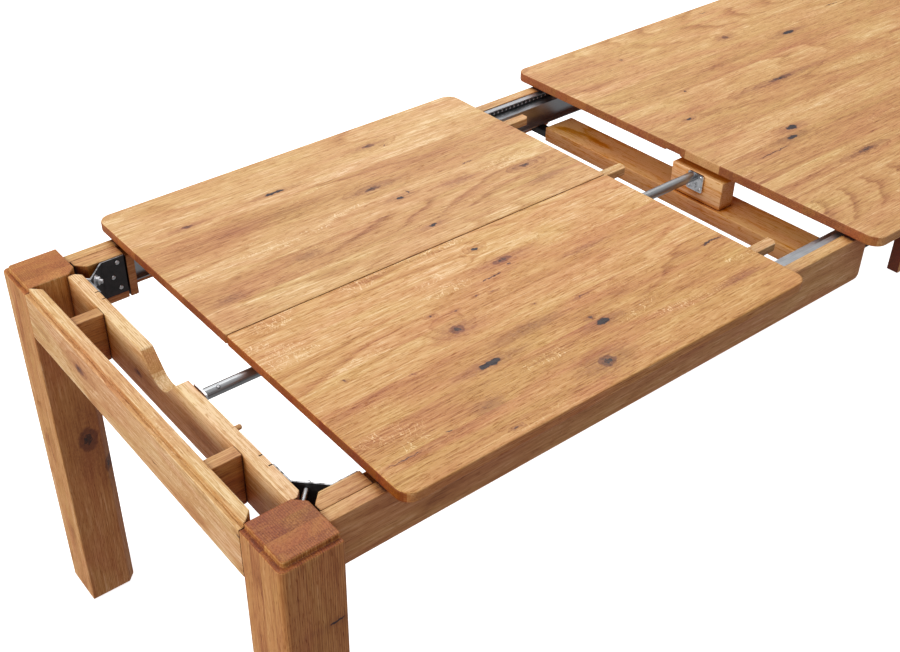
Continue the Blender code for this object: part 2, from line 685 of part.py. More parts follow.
def build_tube(parent):
    """Steel tube along the table, in a hole through a square flange at each end."""
    center = (TUBE_Y, TUBE_Z)
    left = CROSS_BOARD_RIGHT + GAP
    right = TUBE_BLOCK_FACE - GAP
    skin = circle(center, TUBE_RADIUS)
    inside = circle(center, TUBE_RADIUS - TUBE_WALL)
    sections = [along_x(inside, left), along_x(skin, left), along_x(skin, right), along_x(inside, right)]
    add_object("pivot_tube", ring_solid(sections), STEEL, parent, smooth=True)

    hole = prism(circle(center, TUBE_RADIUS + GAP), "x", left - CUTTER_REACH, right + CUTTER_REACH)
    cutter = add_object("flange_hole_cutter", hole, None)
    plates = {"left": (left, left + FLANGE_THICKNESS, LEFT_FLANGE_Z),
              "right": (right - FLANGE_THICKNESS, right, RIGHT_FLANGE_Z)}
    for place, (low, high, centre_z) in plates.items():
        half = FLANGE_HALF_SIZE
        corners = rectangle(FLANGE_Y - half, centre_z - half, FLANGE_Y + half, centre_z + half)
        outline = rounded([(y, z, FLANGE_CORNER_RADIUS, 4) for y, z in corners])
        flange = add_object(f"tube_flange_{place}", prism(outline, "x", low, high), CHROME, parent)
        cut(flange, cutter)


# ---------------------------------------------------------------- telescopic slides
def slide_outline(side, points):
    """Section points given as depth from the side board and height from the slide's middle."""
    sign = SIDES[side]
    return [(sign * (SIDE_BOARD_INNER_Y - depth), SLIDE_CENTRE_Z + height) for depth, height in points]


def channel_points(back, lip):
    """A C section from its back to its lips."""
    half = (SLIDE_TOP - SLIDE_BOTTOM) / 2
    metal = SLIDE_METAL
    web = back + math.copysign(metal, lip - back)
    return [(back, -half), (lip, -half), (lip, metal - half), (web, metal - half),
            (web, half - metal), (lip, half - metal), (lip, half), (back, half)]


def middle_points():
    """An I section that runs inside both channels."""
    half = (SLIDE_TOP - SLIDE_BOTTOM) / 2 - SLIDE_METAL - RACE
    middle = (MIDDLE_START + MIDDLE_END) / 2
    web_start, web_end = middle - SLIDE_METAL / 2, middle + SLIDE_METAL / 2
    start, end = MIDDLE_START, MIDDLE_END
    shelf = half - SLIDE_METAL
    return [(start, -half), (end, -half), (end, -shelf), (web_end, -shelf), (web_end, shelf),
            (end, shelf), (end, half), (start, half), (start, shelf), (web_start, shelf),
            (web_start, -shelf), (start, -shelf)]


def cage_points():
    """A ball cage that lines the outer channel."""
    race_middle = (SLIDE_TOP - SLIDE_BOTTOM) / 2 - SLIDE_METAL - RACE / 2
    half = race_middle + CAGE_HEIGHT / 2
    inner = half - CAGE_HEIGHT
    back = SLIDE_METAL + 2 * GAP
    web = back + CAGE_WEB
    lip = CHANNEL_DEPTH - CAGE_LIP_INSET
    return [(back, -half), (lip, -half), (lip, -inner), (web, -inner), (web, inner), (lip, inner),
            (lip, half), (back, half)]


def build_slide(side, pullout_axis, middle_axis, cage_axis):
    outer = slide_outline(side, channel_points(GAP, CHANNEL_DEPTH))
    inner = slide_outline(side, channel_points(SLIDE_DEPTH, SLIDE_DEPTH - CHANNEL_DEPTH))
    middle = slide_outline(side, middle_points())
    cage = slide_outline(side, cage_points())
    outer_end = SLIDE_LEFT + SLIDE_LENGTH
    middle_end = MIDDLE_SLIDE_LEFT + SLIDE_LENGTH
    inner_end = INNER_SLIDE_LEFT + SLIDE_LENGTH
    cage_end = CAGE_START + CAGE_LENGTH
    add_object(f"outer_slide_{side}", prism(outer, "x", SLIDE_LEFT, outer_end), STEEL, pullout_axis)
    add_object(f"inner_slide_{side}", prism(inner, "x", INNER_SLIDE_LEFT, inner_end), STEEL)
    add_object(f"middle_slide_{side}", prism(middle, "x", MIDDLE_SLIDE_LEFT, middle_end), STEEL,
               middle_axis)
    add_object(f"ball_cage_{side}", prism(cage, "x", CAGE_START, cage_end), BLACK_PLASTIC, cage_axis)


def build_main_rail(side):
    """Rail under the fixed top that holds the slide's inner member."""
    outer = SIDE_BOARD_INNER_Y - SLIDE_DEPTH - GAP
    data = box((MAIN_RAIL_START, MAIN_RAIL_END), side_span(side, outer - MAIN_RAIL_THICKNESS, outer),
               (MAIN_RAIL_BOTTOM, TOP_UNDERSIDE - GAP))
    round_edges(add_object(f"main_slide_rail_{side}", data, WOOD), WOOD_EDGE)


# ---------------------------------------------------------------- assembly
def build_main_table():
    build_main_top()
    build_end_apron("main_end_apron", FRAME_RIGHT, MAIN_APRON_INNER_X, None)
    for side in SIDES:
        build_main_side_apron(side)
        build_main_rail(side)
        corner = Corner(MAIN_APRON_INNER_X, MAIN_SIDE_INNER_Y, -1, side, MAIN_STANDOFF)
        cutter = build_corner("main", side, corner, None)
        build_leg(f"main_leg_{side}", FRAME_RIGHT, -1, side, cutter, None)


def build_pullout_frame(axis):
    build_end_apron("pullout_end_apron", 0.0, END_APRON_THICKNESS, axis)
    build_cross_board(axis)
    for side in SIDES:
        build_spacer(side, axis)
        build_side_boards(side, axis)
        corner = Corner(CROSS_BOARD_RIGHT, CORNER_BOARD_INNER_Y, 1, side, PULLOUT_STANDOFF)
        cutter = build_corner("pullout", side, corner, axis)
        build_leg(f"pullout_leg_{side}", 0.0, 1, side, cutter, axis)
    build_cross_beam(axis)
    build_tube_block(axis)
    build_tube(axis)


def build():
    clear_scene()
    pullout_axis = add_axis("pullout_slide_axis", SLIDE_LEFT, 0.0, SLIDE_CENTRE_Z)
    leaf_axis = add_axis("leaf_shift_axis", LEAF_LEFT_EDGE, TUBE_Y, TUBE_Z)
    fold_axis = add_axis("leaf_fold_axis", LEAF_LEFT_EDGE, 0.0, FOLD_AXIS_Z)
    build_main_table()
    build_pullout_frame(pullout_axis)
    build_leaf(leaf_axis, fold_axis)
    for side in SIDES:
        y = SIDES[side] * (SIDE_BOARD_INNER_Y - SLIDE_DEPTH / 2)
        middle_axis = add_axis(f"middle_slide_axis_{side}", MIDDLE_SLIDE_LEFT, y, SLIDE_CENTRE_Z)
        cage_axis = add_axis(f"ball_cage_axis_{side}", CAGE_START, y, SLIDE_CENTRE_Z)
        build_slide(side, pullout_axis, middle_axis, cage_axis)


build()
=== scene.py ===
"""Looks of the extending oak dining table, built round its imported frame. Metres, +Z up."""
import math

import bmesh
import bpy
from mathutils import Matrix, Vector


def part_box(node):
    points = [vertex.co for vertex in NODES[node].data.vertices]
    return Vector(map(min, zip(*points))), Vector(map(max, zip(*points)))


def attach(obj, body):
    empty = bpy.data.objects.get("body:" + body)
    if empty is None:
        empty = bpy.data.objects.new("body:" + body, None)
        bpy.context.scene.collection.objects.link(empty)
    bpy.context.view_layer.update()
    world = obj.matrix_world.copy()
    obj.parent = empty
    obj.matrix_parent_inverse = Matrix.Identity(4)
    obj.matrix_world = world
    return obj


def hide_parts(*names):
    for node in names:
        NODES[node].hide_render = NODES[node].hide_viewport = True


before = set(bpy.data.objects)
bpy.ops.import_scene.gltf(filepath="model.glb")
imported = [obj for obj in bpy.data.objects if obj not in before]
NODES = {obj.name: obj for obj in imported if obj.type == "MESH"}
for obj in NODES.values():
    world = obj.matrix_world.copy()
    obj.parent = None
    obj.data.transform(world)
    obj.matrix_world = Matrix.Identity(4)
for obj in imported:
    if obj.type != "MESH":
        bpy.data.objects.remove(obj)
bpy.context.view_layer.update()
SIDES = {"near": -1, "far": 1}


# ---------------------------------------------------------------- shader helpers
COLOR_A, COLOR_B, COLOR_RESULT = 6, 7, 2   # a Mix node's colour sockets


class Graph:
    """Adds shader nodes to one tree. A value may be a number or another node's output."""

    def __init__(self, tree):
        self.tree = tree

    def node(self, kind, inputs=None, **settings):
        made = self.tree.nodes.new(kind)
        for name, value in settings.items():
            setattr(made, name, value)
        for name, value in (inputs or {}).items():
            self.plug(value, made.inputs[name])
        return made

    def plug(self, value, socket):
        if isinstance(value, bpy.types.NodeSocket):
            self.tree.links.new(value, socket)
        else:
            socket.default_value = value

    def math(self, operation, a, b=0.0, c=0.0, clamp=False):
        made = self.node("ShaderNodeMath", {0: a, 1: b, 2: c}, operation=operation, use_clamp=clamp)
        return made.outputs[0]

    def total(self, *terms):
        """Sum of (value, weight) pairs."""
        result = 0.0
        for value, weight in terms:
            result = self.math("MULTIPLY_ADD", value, weight, result)
        return result

    def vector(self, operation, a, b=(0.0, 0.0, 0.0)):
        made = self.node("ShaderNodeVectorMath", {0: a, 1: b}, operation=operation)
        return made.outputs["Value" if operation == "LENGTH" else "Vector"]

    def step(self, value, low, high):
        """0 to 1 smoothly as the value goes from low to high, which may run downward."""
        inputs = {"Value": value, "From Min": low, "From Max": high}
        made = self.node("ShaderNodeMapRange", inputs, interpolation_type="SMOOTHSTEP")
        return made.outputs["Result"]

    def noise(self, vector, detail=2.0, distortion=0.0, output="Fac"):
        """Noise with one cell per unit of the vector, so a scaled place sets its size."""
        inputs = {"Vector": vector, "Scale": 1.0, "Detail": detail, "Distortion": distortion}
        return self.node("ShaderNodeTexNoise", inputs).outputs[output]

    def ramp(self, value, stops, interpolation="LINEAR"):
        """A colour ramp from (place, colour) pairs. A colour has three or four numbers."""
        made = self.node("ShaderNodeValToRGB", {0: value})
        ramp = made.color_ramp
        ramp.interpolation = interpolation
        while len(ramp.elements) < len(stops):
            ramp.elements.new(0.5)
        for element, (place, _) in zip(ramp.elements, stops):
            element.position = place
        for element, (_, color) in zip(ramp.elements, stops):
            element.color = tuple(color) + (1.0,) * (4 - len(color))
        return made

    def combine(self, x, y, z):
        return self.node("ShaderNodeCombineXYZ", {0: x, 1: y, 2: z}).outputs[0]

    def separate(self, vector):
        return self.node("ShaderNodeSeparateXYZ", {0: vector}).outputs

    def mix(self, factor, a, b):
        """Colour a where the factor is 0 and b where it is 1."""
        made = self.node("ShaderNodeMix", data_type="RGBA")
        self.plug(factor, made.inputs["Factor"])
        self.plug(a, made.inputs[COLOR_A])
        self.plug(b, made.inputs[COLOR_B])
        return made.outputs[COLOR_RESULT]


def new_material(name):
    """An empty material with a Principled shader, its graph and the shader node."""
    material = bpy.data.materials.new(name)
    material.use_nodes = True
    graph = Graph(material.node_tree)
    shader = material.node_tree.nodes["Principled BSDF"]
    return material, graph, shader


def object_place(graph):
    """The point in the piece's own metres, so that the grain moves with it."""
    return graph.node("ShaderNodeTexCoord").outputs["Object"]


def bump(graph, height, distance, strength=1.0):
    """A normal raised by up to the distance in metres where the height is 1."""
    inputs = {"Height": height, "Distance": distance, "Strength": strength}
    return graph.node("ShaderNodeBump", inputs).outputs["Normal"]


# ---------------------------------------------------------------- oak
# Linear colours of oiled oak, from pale sapwood to the heart of a knot.
OAK_TONES = [
    (0.00, (0.860, 0.610, 0.350)),
    (0.12, (0.700, 0.415, 0.178)),
    (0.24, (0.585, 0.300, 0.108)),
    (0.42, (0.425, 0.182, 0.060)),
    (0.62, (0.240, 0.082, 0.027)),
    (0.82, (0.088, 0.032, 0.017)),
    (1.00, (0.026, 0.021, 0.022)),
]
RESIN = (0.036, 0.023, 0.026, 1.0)   # dark filler in a knot hole
RINGS_PER_METER = 290.0
RING_PROFILE = [(place, (dark,) * 3) for place, dark in
                ((0.0, 0.10), (0.10, 1.0), (0.32, 0.34), (0.75, 0.0), (1.0, 0.10))]


def oak_group():
    """Solid oak in grain coordinates: X along the grain, Y across the board, Z into it.

    Growth rings are distances from a wandering pith, so a board shows arches on its face, lines on
    its edge and arcs on its end. Knots push the rings aside. Ray flecks are short pale curls.
    """
    group = bpy.data.node_groups.new("solid_oak", "ShaderNodeTree")
    face = group.interface
    for name in ("Tone", "Seed", "Center", "Fleck", "Push", "Knot", "Filled", "End", "Warmth"):
        face.new_socket(name, in_out="INPUT", socket_type="NodeSocketFloat")
    face.new_socket("Place", in_out="INPUT", socket_type="NodeSocketVector")
    face.new_socket("Color", in_out="OUTPUT", socket_type="NodeSocketColor")
    face.new_socket("Roughness", in_out="OUTPUT", socket_type="NodeSocketFloat")
    face.new_socket("Height", in_out="OUTPUT", socket_type="NodeSocketFloat")
    g = Graph(group)
    given = g.node("NodeGroupInput").outputs
    along, across, depth = g.separate(given["Place"])
    seed = given["Seed"]
    shifted = g.math("MULTIPLY_ADD", seed, 13.7, along)
    sideways = g.math("MULTIPLY_ADD", seed, 5.3, across)

    def stretched(along_scale, across_scale):
        """The place in the board, drawn out along the grain."""
        return g.combine(g.math("MULTIPLY", shifted, along_scale),
                         g.math("MULTIPLY", sideways, across_scale),
                         g.math("MULTIPLY", depth, across_scale))

    def fraction(multiple):
        return g.math("FRACT", g.math("MULTIPLY", seed, multiple))

    wander = g.noise(stretched(1.3, 1.6), detail=1.0)
    slope = g.math("MULTIPLY", g.math("SUBTRACT", fraction(3.7), 0.5), 0.050)
    pith_side = g.math("MULTIPLY", g.math("SUBTRACT", fraction(9.1), 0.5), 0.15)
    pith_depth = g.math("MULTIPLY_ADD", fraction(5.9), 0.06, 0.020)
    from_pith_y = g.math("ADD", g.math("SUBTRACT", across, given["Center"]), pith_side)
    from_pith_z = g.total((depth, 1.0), (pith_depth, 1.0), (g.math("MULTIPLY", along, slope), 1.0),
                          (g.math("SUBTRACT", wander, 0.5), 0.022))
    radius = g.vector("LENGTH", g.combine(0.0, from_pith_y, from_pith_z))
    waves = g.noise(stretched(6.0, 50.0), detail=2.0)
    field = g.total((radius, RINGS_PER_METER), (waves, 0.8), (given["Push"], 1.0))
    ring = g.ramp(g.math("FRACT", field), RING_PROFILE).outputs[0]
    ring_strength = g.step(g.noise(stretched(1.8, 9.0), detail=1.0), 0.34, 0.70)

    streak = g.noise(stretched(13.0, 290.0), detail=3.0)
    fiber = g.noise(stretched(38.0, 780.0), detail=2.0)
    band = g.noise(stretched(1.6, 38.0), detail=2.0)
    blotch = g.noise(stretched(4.5, 17.0), detail=2.0, distortion=0.8)
    pores = g.step(g.noise(stretched(62.0, 760.0), detail=1.0), 0.60, 0.70)
    curl = g.noise(stretched(66.0, 40.0), detail=1.2, distortion=1.8)
    curl_line = g.step(g.math("ABSOLUTE", g.math("SUBTRACT", curl, 0.5)), 0.024, 0.008)
    fleck_zone = g.step(g.noise(stretched(6.0, 22.0), detail=1.0), 0.57, 0.66)
    fleck = g.math("MULTIPLY", curl_line, g.math("MULTIPLY", fleck_zone, given["Fleck"]))

    ring_dark = g.math("MULTIPLY", g.math("SUBTRACT", ring, 0.3), ring_strength)
    clean = g.math("SUBTRACT", 1.0, given["Knot"], clamp=True)
    pale_end = g.step(fraction(7.3), 0.24, 0.18)
    end_dark = g.math("MULTIPLY", given["End"], g.total((pale_end, -0.20), (0.22, 1.0)))
    grain = g.total((ring_dark, 0.24), (g.math("SUBTRACT", streak, 0.5), 0.50),
                    (g.math("SUBTRACT", fiber, 0.5), 0.40), (g.math("SUBTRACT", band, 0.5), 0.24),
                    (g.math("SUBTRACT", blotch, 0.5), 0.15), (pores, 0.18), (fleck, -0.24))
    calm_end = g.math("MULTIPLY_ADD", given["End"], -0.30, clean, clamp=True)
    dark = g.total((grain, calm_end), (given["Tone"], 1.0), (given["Knot"], 0.60), (end_dark, 1.0))
    color = g.ramp(dark, OAK_TONES, "EASE").outputs[0]
    warm = g.node("ShaderNodeHueSaturation",
                  {"Hue": g.total((g.math("SUBTRACT", blotch, 0.5), -0.040), (end_dark, -0.03),
                                  (given["Warmth"], -0.05), (0.5, 1.0)),
                   "Saturation": g.total((given["Warmth"], 1.0), (end_dark, 0.20), (given["Knot"], -0.12),
                                         (1.0, 1.0)),
                   "Color": color})
    resin = g.mix(given["Filled"], warm.outputs[0], RESIN)
    rough = g.total((streak, 0.16), (pores, 0.16), (given["Filled"], 0.04), (fleck, -0.10), (0.38, 1.0))
    height = g.total((ring_dark, -0.25), (streak, 0.45), (pores, -0.9), (fiber, 0.35),
                     (given["Filled"], -0.9))
    result = g.node("NodeGroupOutput")
    g.plug(resin, result.inputs["Color"])
    g.plug(rough, result.inputs["Roughness"])
    g.plug(height, result.inputs["Height"])
    return group


OAK = oak_group()
AXES = "xyz"
KNOT_KINDS = ("filled", "round", "crack", "smear")
FAR_AWAY = 99.0     # scaled distance where a board has no knot of a kind
KNOT_WOBBLE = 0.013   # metres by which noise bends a knot's outline
STAIN_DRAW = 0.55   # distance along the grain counts this much, so a stain is longer than its knot


def knot_fields(g, place, grain, across, knots):
    """Scaled distances to the nearest knot of each kind, and to the stain drawn out past it.

    A knot is (along, across, length, width).
    """
    wobble = g.noise(g.vector("MULTIPLY", place, (95.0, 95.0, 95.0)), detail=3.0, output="Color")
    bent = g.vector("ADD", place, g.vector("MULTIPLY", g.vector("SUBTRACT", wobble, (0.5, 0.5, 0.5)),
                                           (KNOT_WOBBLE,) * 3))
    fields = {}
    for kind in KNOT_KINDS:
        nearest = None
        stain = None
        for center_along, center_across, length, width in knots.get(kind, ()):
            center = [0.0, 0.0, 0.0]
            center[AXES.index(grain)] = center_along
            center[AXES.index(across)] = center_across
            scale = [0.0, 0.0, 0.0]
            scale[AXES.index(grain)] = 2.0 / length
            scale[AXES.index(across)] = 2.0 / width
            drawn = [1.0, 1.0, 1.0]
            drawn[AXES.index(grain)] = STAIN_DRAW
            offset = g.vector("MULTIPLY", g.vector("SUBTRACT", bent, tuple(center)), tuple(scale))
            distance = g.vector("LENGTH", offset)
            far = g.vector("LENGTH", g.vector("MULTIPLY", offset, tuple(drawn)))
            nearest = distance if nearest is None else g.math("MINIMUM", nearest, distance)
            stain = far if stain is None else g.math("MINIMUM", stain, far)
        fields[kind] = FAR_AWAY if nearest is None else nearest
        fields[kind + "_stain"] = FAR_AWAY if stain is None else stain
    return fields


def planks_ramp(g, across_value, planks):
    """Each plank's tone, seed, middle and flecks. A plank is (start, tone, seed, fleck)."""
    start, end = planks[0][0], planks[-1]
    width = end - start
    inputs = {"Value": across_value, "From Min": start, "From Max": end}
    place = g.node("ShaderNodeMapRange", inputs).outputs["Result"]
    stops = []
    for index, plank in enumerate(planks[:-1]):
        following = planks[index + 1]
        plank_end = following if isinstance(following, float) else following[0]
        middle = ((plank[0] + plank_end) / 2 - start) / width
        stops.append(((plank[0] - start) / width, (plank[1], plank[2], middle, plank[3])))
    made = g.ramp(place, stops, "CONSTANT")
    parts = g.node("ShaderNodeSeparateColor", {0: made.outputs["Color"]}).outputs
    middle = g.math("MULTIPLY_ADD", parts["Blue"], width, start)
    return {"Tone": parts["Red"], "Seed": parts["Green"], "Center": middle, "Fleck": made.outputs["Alpha"]}


# Painted shade: ambient occlusion darkens the wood where neighbouring boards close in on it.
CREASE_REACH = 0.012   # metres within which a neighbour darkens a board
HOLLOW_REACH = 0.060
FLOOR_CLEAR = (0.002, 0.075)   # heights over which it sets in, so the floor darkens no leg


def painted_corner_shade(g, height):
    """Painted shade: how much darker the wood is made in creases and in the bins between boards."""
    crease = g.node("ShaderNodeAmbientOcclusion", {"Distance": CREASE_REACH}, samples=4).outputs["AO"]
    hollow = g.node("ShaderNodeAmbientOcclusion", {"Distance": HOLLOW_REACH}, samples=4).outputs["AO"]
    corners = g.total((g.step(crease, 0.90, 0.30), 0.46), (g.step(hollow, 0.66, 0.24), 0.30))
    return g.math("MULTIPLY", corners, g.step(height, *FLOOR_CLEAR))


def knot_darkness(g, place, fields):
    """How dark the knots, cracks and stains make the wood. It is past 1 in the hearts."""
    mottle = g.noise(g.vector("MULTIPLY", place, (170.0, 170.0, 170.0)), detail=3.0)
    rings = g.math("SINE", g.math("MULTIPLY", fields["round"], 13.0))
    stains = g.math("MINIMUM", fields["filled_stain"], fields["round_stain"])
    layers = (
        (g.step(fields["filled"], 1.5, 1.0), 0.42),
        (g.step(fields["round"], 1.15, 0.75), g.total((mottle, 0.60), (rings, 0.05), (0.40, 1.0))),
        (g.step(fields["round"], 0.62, 0.30), g.total((mottle, 1.5), (0.30, 1.0))),
        (g.step(fields["smear"], 1.25, 0.10), g.total((mottle, 0.60), (0.02, 1.0))),
        (g.step(fields["crack"], 1.0, 0.55), 1.05),
        (g.step(fields["crack"], 5.0, 0.8), 0.13),
    )
    darkness = g.math("MULTIPLY", g.step(stains, 2.9, 0.7), g.total((mottle, 0.46), (0.04, 1.0)))
    for reach, strength in layers:
        darkness = g.math("MAXIMUM", darkness, g.math("MULTIPLY", reach, strength))
    return darkness


def oak_material(name, grain, across, planks, knots=None, tone=0.0, gloss=0.0, warmth=0.0,
                 knots_across=None, ends=1.0):
    """Oiled oak for boards whose grain and width run along two of the object's axes.

    Knots lie across the width, or across another axis on a stick seen from its side. A higher
    value of ends darkens the end grain more.
    """
    material, g, shader = new_material(name)
    place = object_place(g)
    normal = g.node("ShaderNodeTexCoord").outputs["Normal"]
    parts = dict(zip(AXES, g.separate(place)))
    facing = dict(zip(AXES, g.separate(normal)))
    third = (set(AXES) - {grain, across}).pop()
    board = planks_ramp(g, parts[across], planks)
    fields = knot_fields(g, place, grain, knots_across or across, knots or {})

    filled = g.step(fields["filled"], 1.02, 0.84)
    knot = knot_darkness(g, place, fields)
    nearest = g.math("MINIMUM", fields["filled"], fields["round"])
    push = g.math("MULTIPLY", g.step(nearest, 5.0, 0.6), 2.2)
    end = g.math("MULTIPLY", g.step(g.math("ABSOLUTE", facing[grain]), 0.55, 0.85), ends)
    aligned = g.combine(parts[grain], parts[across], parts[third])
    # Painted shade from creases and bins darkens the tone and warms the colour.
    painted_shade = painted_corner_shade(g, parts["z"])
    inputs = {"Place": aligned, "Tone": g.total((board["Tone"], 1.0), (painted_shade, 1.0), (tone, 1.0)),
              "Seed": board["Seed"], "Center": board["Center"], "Fleck": board["Fleck"], "Push": push,
              "Knot": knot, "Filled": filled, "End": end,
              "Warmth": g.math("MULTIPLY_ADD", painted_shade, 0.5, warmth)}
    wood = g.node("ShaderNodeGroup", node_tree=OAK)
    for key, value in inputs.items():
        g.plug(value, wood.inputs[key])
    g.plug(wood.outputs["Color"], shader.inputs["Base Color"])
    g.plug(g.math("SUBTRACT", wood.outputs["Roughness"], gloss), shader.inputs["Roughness"])
    g.plug(bump(g, wood.outputs["Height"], 0.0005, 0.55), shader.inputs["Normal"])
    shader.inputs["Specular IOR Level"].default_value = 0.42
    return material


def paint(names, material):
    """Puts one material on every slot of the named CAD nodes."""
    for name in names:
        slots = NODES[name].material_slots
        for index in range(len(slots)):
            slots[index].material = material


def paint_tops():
    """The leaf and the fixed top, with the planks and knots that show most in their real places."""
    # The near planks run a little darker and the near half is a little warmer than the far half, as painted
    # shade for the weaker sheen on the near side.
    leaf_planks = [(-0.460, 0.25, 0.13, 0.3), (-0.386, 0.27, 0.60, 1.0), (-0.320, 0.25, 0.45, 0.4),
                   (-0.254, 0.18, 0.31, 0.2), (-0.190, 0.22, 0.87, 0.3), (-0.127, 0.17, 0.53, 1.0),
                   (0.0, 0.19, 0.73, 0.1), (0.063, 0.26, 0.22, 0.4), (0.130, 0.16, 0.64, 1.0),
                   (0.195, 0.24, 0.93, 0.4), (0.299, 0.15, 0.38, 0.2), (0.365, 0.18, 0.05, 0.4), 0.460]
    leaf_knots = {
        "filled": [(-0.938, -0.303, 0.044, 0.013), (-0.732, -0.329, 0.026, 0.013),
                   (-0.910, 0.327, 0.040, 0.008), (-0.741, 0.167, 0.014, 0.009),
                   (-0.754, 0.056, 0.018, 0.007), (-0.749, -0.049, 0.013, 0.008)],
        "round": [(-0.798, -0.404, 0.034, 0.026), (-0.920, -0.207, 0.028, 0.024),
                  (-0.736, -0.103, 0.044, 0.016), (-0.482, 0.120, 0.026, 0.009),
                  (-1.096, 0.320, 0.030, 0.010), (-0.760, 0.226, 0.040, 0.013),
                  (-0.666, 0.367, 0.030, 0.013), (-0.740, -0.311, 0.008, 0.005),
                  (-0.931, -0.156, 0.006, 0.005), (-1.044, -0.253, 0.005, 0.004),
                  (-0.838, -0.156, 0.005, 0.004), (-0.809, -0.163, 0.006, 0.004),
                  (-0.892, -0.168, 0.007, 0.003), (-0.782, -0.229, 0.005, 0.004),
                  (-0.707, -0.259, 0.012, 0.004), (-1.130, -0.205, 0.006, 0.005),
                  (-1.004, -0.434, 0.009, 0.004), (-0.640, 0.350, 0.006, 0.004)],
        "crack": [(-0.785, -0.131, 0.060, 0.0030), (-0.735, -0.118, 0.010, 0.0070),
                  (-0.716, 0.176, 0.005, 0.0160), (-1.163, -0.392, 0.070, 0.0018),
                  (-0.420, -0.277, 0.060, 0.0050),
                  (-1.081, -0.383, 0.014, 0.0018), (-0.560, 0.196, 0.040, 0.0022)],
        "smear": [(-0.834, -0.272, 0.190, 0.030), (-1.002, -0.375, 0.070, 0.036),
                  (-0.728, -0.100, 0.070, 0.032), (-1.100, 0.318, 0.080, 0.020),
                  (-0.740, 0.170, 0.100, 0.028), (-0.620, 0.150, 0.120, 0.034),
                  (-0.980, 0.110, 0.080, 0.030), (-1.150, 0.080, 0.080, 0.030),
                  (-0.600, -0.160, 0.150, 0.020), (-0.480, 0.060, 0.120, 0.026),
                  (-0.470, -0.380, 0.140, 0.024), (-0.760, 0.232, 0.110, 0.026)],
    }
    paint(["leaf_near_half"], oak_material("oak_leaf_near", "x", "y", leaf_planks, leaf_knots, warmth=0.05,
                                           ends=1.55))
    paint(["leaf_far_half"], oak_material("oak_leaf_far", "x", "y", leaf_planks, leaf_knots, ends=1.55))
    main_planks = [(-0.460, 0.20, 0.27, 0.3), (-0.385, 0.25, 0.81, 0.5), (-0.300, 0.21, 0.12, 0.3),
                   (-0.205, 0.26, 0.66, 0.6), (-0.112, 0.19, 0.16, 0.3), (-0.030, 0.24, 0.90, 0.6),
                   (0.062, 0.20, 0.49, 0.3), (0.150, 0.25, 0.19, 0.4), (0.235, 0.19, 0.74, 0.5),
                   (0.325, 0.22, 0.60, 0.2), (0.398, 0.18, 0.06, 0.2), 0.460]
    main_knots = {
        "filled": [(0.030, -0.094, 0.030, 0.015), (-0.004, -0.121, 0.030, 0.012),
                   (0.419, 0.215, 0.036, 0.014), (-0.097, 0.056, 0.012, 0.007)],
        "round": [(0.200, 0.067, 0.080, 0.012), (0.286, 0.285, 0.018, 0.016),
                  (0.060, -0.240, 0.050, 0.010), (0.750, -0.180, 0.026, 0.022),
                  (0.930, 0.120, 0.040, 0.020), (1.180, -0.320, 0.024, 0.018),
                  (0.560, -0.020, 0.030, 0.010), (1.060, 0.340, 0.032, 0.014)],
        "crack": [(-0.080, -0.140, 0.110, 0.0028), (0.012, 0.346, 0.009, 0.0050),
                  (-0.003, 0.149, 0.009, 0.0050), (0.363, 0.416, 0.022, 0.0030),
                  (0.640, 0.260, 0.060, 0.0030), (0.850, -0.390, 0.040, 0.0026)],
    }
    paint(["main_top"], oak_material("oak_fixed_top", "x", "y", main_planks, main_knots, tone=0.02, ends=1.2))


BOARD_LOW, BOARD_HIGH = 0.64, 0.80   # heights that every upright board lies between


def one_board(tone, seed, fleck, low=BOARD_LOW):
    """One upright board in place of several planks."""
    return [(low, tone, seed, fleck), BOARD_HIGH]


